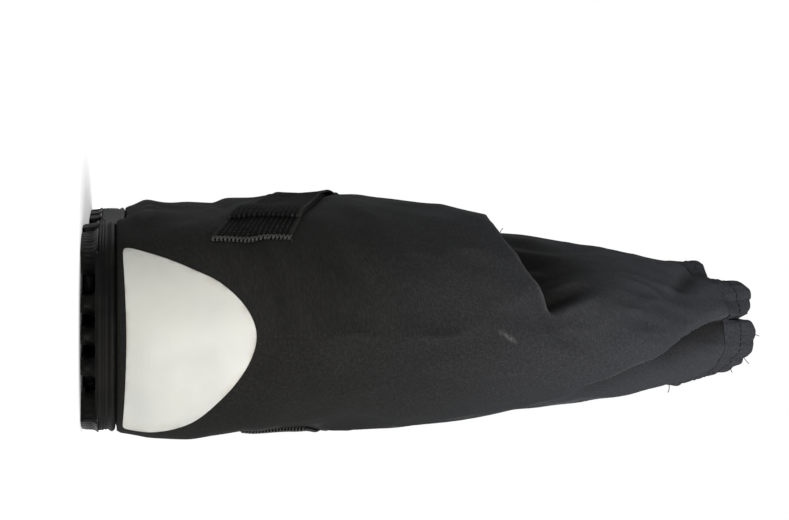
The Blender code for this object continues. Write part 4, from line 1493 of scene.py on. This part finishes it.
def collar_edge(angle):
    """The upper's top loop at the angles, its outward normals in plan, and its run for each step up."""
    below, edge = wrinkled(np.array([TOP_LEVEL - COLLAR_STEP, TOP_LEVEL]), angle)[0]
    out_x, out_y = plan_normals(edge[:, 0], edge[:, 1])
    climb = edge - below
    return edge, np.column_stack([out_x, out_y, 0 * out_x]), climb / climb[:, 2:]


def hem_swell(share):
    """How far the puckers stand out: part of a sine of the height share, from nothing at the foot."""
    bulge = np.sin(np.pi * np.clip(share * PUCKER_SPAN + PUCKER_FROM, 0, 1))
    return bulge * smooth_step(share / PUCKER_FADE)


def hem_points(angle, out, up):
    """Points of the casing, out along the collar's normal and up its leaning wall, which rights itself.

    A lump pushes the wall out by a soft step of its height share, leans it by the square of the share and
    lifts it by the share. The puckers stand out between the foot and the top.
    """
    edge, normal, climb = collar_edge(angle)
    push, lift, lean = hem_shape(angle)
    puckers = hem_puckers(angle)
    share = np.clip(up / HEM_HEIGHT, 0, 1)
    reach = out + smooth_step(share) * push + share**2 * lean + PUCKER_DEPTH * hem_swell(share) * puckers
    points = edge + reach[..., None] * normal + (up * (1 - share / 2))[..., None] * climb
    points[..., 2] = HEM_BOTTOM + up + share * (lift - PUCKER_DROP * puckers)
    return points


def make_hem():
    """The section carried round the collar, with a mask where its puckers stand out."""
    angle = even_angles(AROUND_HEM)
    section = softened(np.array(HEM_PROFILE), HEM_POINTS, HEM_SOFTENINGS)
    out, up = section[:, :1], section[:, 1:]
    points = hem_points(angle, out, up)
    faces = grid_faces(HEM_POINTS, AROUND_HEM, True)
    hem = make_piece("collar_hem_roll", points.reshape(-1, 3), faces, hem_material())
    lay_cloth(hem.data, points, len(faces))
    stands_out = smooth_step(hem_puckers(angle) / PUCKER_WORN) * hem_swell(np.clip(up / HEM_HEIGHT, 0, 1))
    write_mask(hem.data, "pucker_top", stands_out * smooth_step(out + WORN_BEHIND))
    return hem


hem = make_hem()
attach(hem, "root")
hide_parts("collar_hem")

# Sewing threads
# Polyester thread: grey overlocking over the patch's end and the strap's root, black lockstitches in the
# hem's groove, and a few loose ends on the cloth and the hem.

OVERLOCK_RADIUS = 0.27
STITCH_RADIUS = 0.28
LOOSE_RADIUS = 0.2
THREAD_SIDES = 8
OVERLOCK_PITCH = 1.4
OVERLOCK_HALF = 1.1
OVERLOCK_MIDDLE = 0.7
OVERLOCK_LIFT = 0.2
OVERLOCK_STEPS = 16
OVERLOCK_MARGIN = 0.4
SMALL_ANGLE = 0.01
STITCH_COUNT = 84
STITCH_FILL = 0.72
STITCH_HEIGHT = 6.4
STITCH_OUT = 0.5
STITCH_ARC = 0.3
STITCH_STEPS = 7


def thread_tubes(paths, normals, radius):
    """Round tubes along many paths of equal length: circles across the tangent, closed at both ends."""
    tangent = unit(np.gradient(paths, axis=1))
    side = unit(np.cross(tangent, normals))
    up = np.cross(tangent, side)
    turn = even_angles(THREAD_SIDES)[:, None]
    ring = np.cos(turn) * side[:, :, None] + np.sin(turn) * up[:, :, None]
    points = paths[:, :, None] + radius * ring
    count, steps = paths.shape[:2]
    each = steps * THREAD_SIDES
    tube = np.array(grid_faces(steps, THREAD_SIDES, False))
    first = (np.arange(count) * each)[:, None]
    faces = (first[:, None] + tube).reshape(-1, 4).tolist()
    cap = np.arange(THREAD_SIDES)
    faces += (first + cap[::-1]).tolist() + (first + each - THREAD_SIDES + cap).tolist()
    return points.reshape(-1, 3), faces


THREAD_BLACK = (0.0120, 0.0120, 0.0118, 1.0)
THREAD_GREY = (0.0640, 0.0640, 0.0615, 1.0)
THREAD_SHADE = (0.0060, 0.0060, 0.0059, 1.0)
STRAND_SCALE = 2400.0
STRAND_RANGE = (0.35, 0.6)
STRAND_SHADE = 0.6


def thread_material():
    """Twisted thread, black or grey by its paleness, darker between its strands."""
    material, tree, shader = new_material("sewing_thread", Roughness=0.6, Specular_IOR_Level=0.25)
    place = object_place(tree)
    strand = noise(tree, place, STRAND_SCALE)
    between = ramp(tree, strand, *STRAND_RANGE, STRAND_SHADE, 0.0)
    colour = tint(tree, read_mask(tree, "thread_pale"), THREAD_BLACK, THREAD_GREY)
    connect(tree, shader, Base_Color=tint(tree, between, colour, THREAD_SHADE))
    rough_up(tree, shader, strand, depth=0.1, strength=0.5)
    return material


def overlock(angle, toward, stand_off, thickness, way):
    """A thread wound round a tape's cut end: an ellipse about the edge, carried across the tape one way."""
    turns = int(STRAP_WIDTH / OVERLOCK_PITCH)
    phase = np.linspace(0, TURN * turns, turns * OVERLOCK_STEPS)
    reach = STRAP_WIDTH / 2 - OVERLOCK_MARGIN
    across = way * np.linspace(-reach, reach, len(phase))
    inward = OVERLOCK_MIDDLE + OVERLOCK_HALF * np.cos(phase)
    lift = stand_off + thickness / 2 + (thickness / 2 + OVERLOCK_LIFT) * np.sin(phase)
    middle, _ = on_upper(strap_field, np.array([angle, angle + SMALL_ANGLE]), 0.0, 0.0)
    per_mm = SMALL_ANGLE / np.linalg.norm(middle[1] - middle[0])
    path, normal = on_upper(strap_field, angle + toward * per_mm * inward, across, lift)
    return path[None], normal[None]


def hem_stitches():
    """Short stitches in a row in the casing's groove, each a shallow arc standing out of it."""
    share = np.linspace(0, 1, STITCH_STEPS)
    start = np.arange(STITCH_COUNT)[:, None]
    angle = ((start + share[None] * STITCH_FILL) * TURN / STITCH_COUNT).ravel()
    arc = STITCH_OUT + STITCH_ARC * np.tile(np.sin(np.pi * share), STITCH_COUNT)
    points = hem_points(angle, arc, np.full(len(angle), STITCH_HEIGHT))
    normal = collar_edge(angle)[1]
    return points.reshape(STITCH_COUNT, -1, 3), normal.reshape(STITCH_COUNT, -1, 3)


# Loose ends, first from the cloth and then from the hem: where they start, how long, and how they bend
LooseEnd = namedtuple("LooseEnd", "turn height length lean rise")
LOOSE_ENDS = (
    LooseEnd(-88.0, 214.0, 4.0, -0.4, 0.5),
    LooseEnd(57.0, 303.0, 6.5, 0.4, -0.3),
    LooseEnd(-34.2, 78.0, 4.5, 0.7, 0.5),
)
FRAYED_ENDS = (
    LooseEnd(6.0, 338.5, 3.0, 0.3, 0.7),
    LooseEnd(26.0, 338.0, 4.0, 0.5, 0.6),
    LooseEnd(41.0, 337.5, 2.5, 0.7, 0.4),
)
LOOSE_STEPS = 14
LOOSE_SPRING = 0.55
LOOSE_ROOT = 0.3
LOOSE_UP = (0.2, 0.1, 1.0)
LOOSE_PALENESS = 0.3


def loose_end(end, root, normal):
    """A thin curl: out of its root along the normal by a quarter sine, bent by the square of its share."""
    share = np.linspace(0, 1, LOOSE_STEPS)[:, None]
    bend = np.array([end.lean, 0.0, end.rise])
    path = root + end.length * (LOOSE_SPRING * np.sin(share * np.pi / 2) * normal + share**2 * bend)
    return path, np.tile(np.array(LOOSE_UP), (LOOSE_STEPS, 1))


def cloth_root(end):
    """Where a loose end leaves the upper's cloth."""
    return on_upper(cloth[..., 2], np.radians([end.turn]), np.array([end.height]), np.array([-LOOSE_ROOT]))


def hem_root(end):
    """Where a loose end leaves the casing: the nearest point of the loop at its height."""
    angle = even_angles(AROUND_HEM)
    loop = hem_points(angle, np.full(AROUND_HEM, LOOSE_ROOT), np.full(AROUND_HEM, end.height - HEM_BOTTOM))
    nearest = int(round(end.turn / 360 * AROUND_HEM)) % AROUND_HEM
    return loop[nearest], collar_edge(angle)[1][nearest]


stitching_points, stitching_faces, stitching_paleness = [], [], []


def sew(paths, normals, radius, paleness):
    """Adds tubes along the paths to the stitching, of thread that is black at paleness 0 and grey at 1."""
    points, faces = thread_tubes(paths, normals, radius)
    first = sum(len(each) for each in stitching_points)
    stitching_points.append(points)
    stitching_paleness.append(np.full(len(points), paleness))
    stitching_faces.extend([[first + vertex for vertex in face] for face in faces])


for end_angle, end_toward, end_thickness in (
    (patch_end, -1.0, PATCH_THICKNESS),
    (strap_root, 1.0, STRAP_THICKNESS),
):
    for way in (-1.0, 1.0):
        sew(*overlock(end_angle, end_toward, STRAP_GAP, end_thickness, way), OVERLOCK_RADIUS, 1.0)
sew(*hem_stitches(), STITCH_RADIUS, 0.0)
for ends, rooted in ((LOOSE_ENDS, cloth_root), (FRAYED_ENDS, hem_root)):
    for end in ends:
        path, normal = loose_end(end, *rooted(end))
        sew(path[None], normal[None], LOOSE_RADIUS, LOOSE_PALENESS)

stitching = make_piece("stitching", np.vstack(stitching_points), stitching_faces, thread_material())
write_mask(stitching.data, "thread_pale", np.concatenate(stitching_paleness))
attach(stitching, "root")

# Floor, light and camera
# A plain pale floor under a white sky, soft lamps behind the heel, on the inner side and in front, and a
# camera close behind the heel at floor height, rolled a quarter turn so that the leg points to the right.
# The floor and the lamps are in metres.

FLOOR_SIZE = 24.0
FLOOR_WHITE = (0.90, 0.90, 0.90, 1.0)
FLOOR_MOTTLE = (0.87, 0.87, 0.87, 1.0)
FLOOR_GLOW = 0.92
SHADE_REACH = 0.10
MOTTLE_SCALE = 14.0


def floor_material():
    """Matt pale floor with a very faint mottle, lit by its own emission to the camera as bright as the
    backdrop, less a painted shadow near the boot.
    """
    plain = {"Roughness": 0.9, "Specular_IOR_Level": 0.1, "Emission_Color": FLOOR_WHITE}
    material, tree, shader = new_material("pale_floor", **plain)
    seen = tree.nodes.new("ShaderNodeLightPath").outputs["Is Camera Ray"]
    # Painted shadow: ambient occlusion darkens the floor's emission near the boot
    open_air = put(tree, "ShaderNodeAmbientOcclusion", {"Distance": SHADE_REACH}).outputs["AO"]
    glow = calculate(tree, "MULTIPLY", calculate(tree, "MULTIPLY", seen, open_air), FLOOR_GLOW)
    place = object_place(tree)
    colour = tint(tree, noise(tree, place, MOTTLE_SCALE, detail=3.0), FLOOR_WHITE, FLOOR_MOTTLE)
    connect(tree, shader, Base_Color=colour, Emission_Strength=glow)
    return material


floor_mesh = bpy.data.meshes.new("floor")
floor_sides = ((-1, -1), (1, -1), (1, 1), (-1, 1))
floor_corners = [(x * FLOOR_SIZE / 2, y * FLOOR_SIZE / 2, 0) for x, y in floor_sides]
floor_mesh.from_pydata(floor_corners, [], [(0, 1, 2, 3)])
floor_mesh.materials.append(floor_material())
floor = add_object("floor", floor_mesh)

Lamp = namedtuple("Lamp", "place aim size power colour")
LAMPS = {
    "key_softbox": Lamp((0.30, -1.30, 0.26), (0.0, 0.0, 0.14), 0.8, 18.5, (1.0, 0.99, 0.965)),
    "inner_fill": Lamp((1.30, -0.30, 0.60), (0.0, 0.0, 0.15), 1.0, 5.0, (0.97, 0.985, 1.0)),
    "front_softbox": Lamp((0.35, 1.60, 0.90), (0.0, 0.0, 0.12), 1.0, 34.0, (0.97, 0.985, 1.0)),
    "outer_fill": Lamp((-1.10, 1.20, 0.70), (0.0, 0.0, 0.12), 1.0, 4.0, (0.97, 0.985, 1.0)),
}


def looking(place, aim):
    """Matrix of a lamp at a place, turned to shine at its aim."""
    back = unit(np.array(place) - np.array(aim))
    right = unit(np.cross((0.0, 0.0, 1.0), back))
    return facing(right, np.cross(back, right), back, place)


def facing(right, up, back, place):
    """Matrix from its three unit axes and its place."""
    return Matrix([(*axes, along) for axes, along in zip(zip(right, up, back), place)] + [(0, 0, 0, 1)])


for lamp_name, lamp in LAMPS.items():
    light = bpy.data.lights.new(lamp_name, "AREA")
    light.size = lamp.size
    light.energy = lamp.power
    light.color = lamp.colour
    add_object(lamp_name, light).matrix_world = looking(lamp.place, lamp.aim)

SKY_WHITE = (1.0, 1.0, 1.0, 1.0)
SKY_FILL = 0.25
world = bpy.data.worlds.new("white_studio")
world.use_nodes = True
sky = world.node_tree
sky.nodes.clear()
fill = put(sky, "ShaderNodeBackground", {"Color": SKY_WHITE, "Strength": SKY_FILL}).outputs[0]
backdrop = put(sky, "ShaderNodeBackground", {"Color": SKY_WHITE, "Strength": 1.0}).outputs[0]
seen = sky.nodes.new("ShaderNodeLightPath").outputs["Is Camera Ray"]
shown = put(sky, "ShaderNodeMixShader", {0: seen, 1: fill, 2: backdrop}).outputs[0]
put(sky, "ShaderNodeOutputWorld", {"Surface": shown})
bpy.context.scene.world = world
bpy.context.scene.view_settings.view_transform = "Standard"

PICTURE_WIDTH = 789
EYE = np.array([-37.0, -300.0, 11.0])
TILT = np.radians(20.0)
SWING = np.radians(1.5)
FOCAL_PIXELS = 778.0
SENSOR_WIDTH = 36.0
NEAR_CLIP = 0.01

ahead = np.array([np.sin(SWING) * np.cos(TILT), np.cos(SWING) * np.cos(TILT), np.sin(TILT)])
across = np.array([-np.cos(SWING), np.sin(SWING), 0.0])
camera_data = bpy.data.cameras.new("camera")
camera_data.sensor_width = SENSOR_WIDTH
camera_data.lens = SENSOR_WIDTH * FOCAL_PIXELS / PICTURE_WIDTH
camera_data.clip_start = NEAR_CLIP
camera = add_object("camera", camera_data)
camera.matrix_world = facing(np.cross(across, -ahead), across, -ahead, EYE * MM + HEEL_POINT)
bpy.context.scene.camera = camera
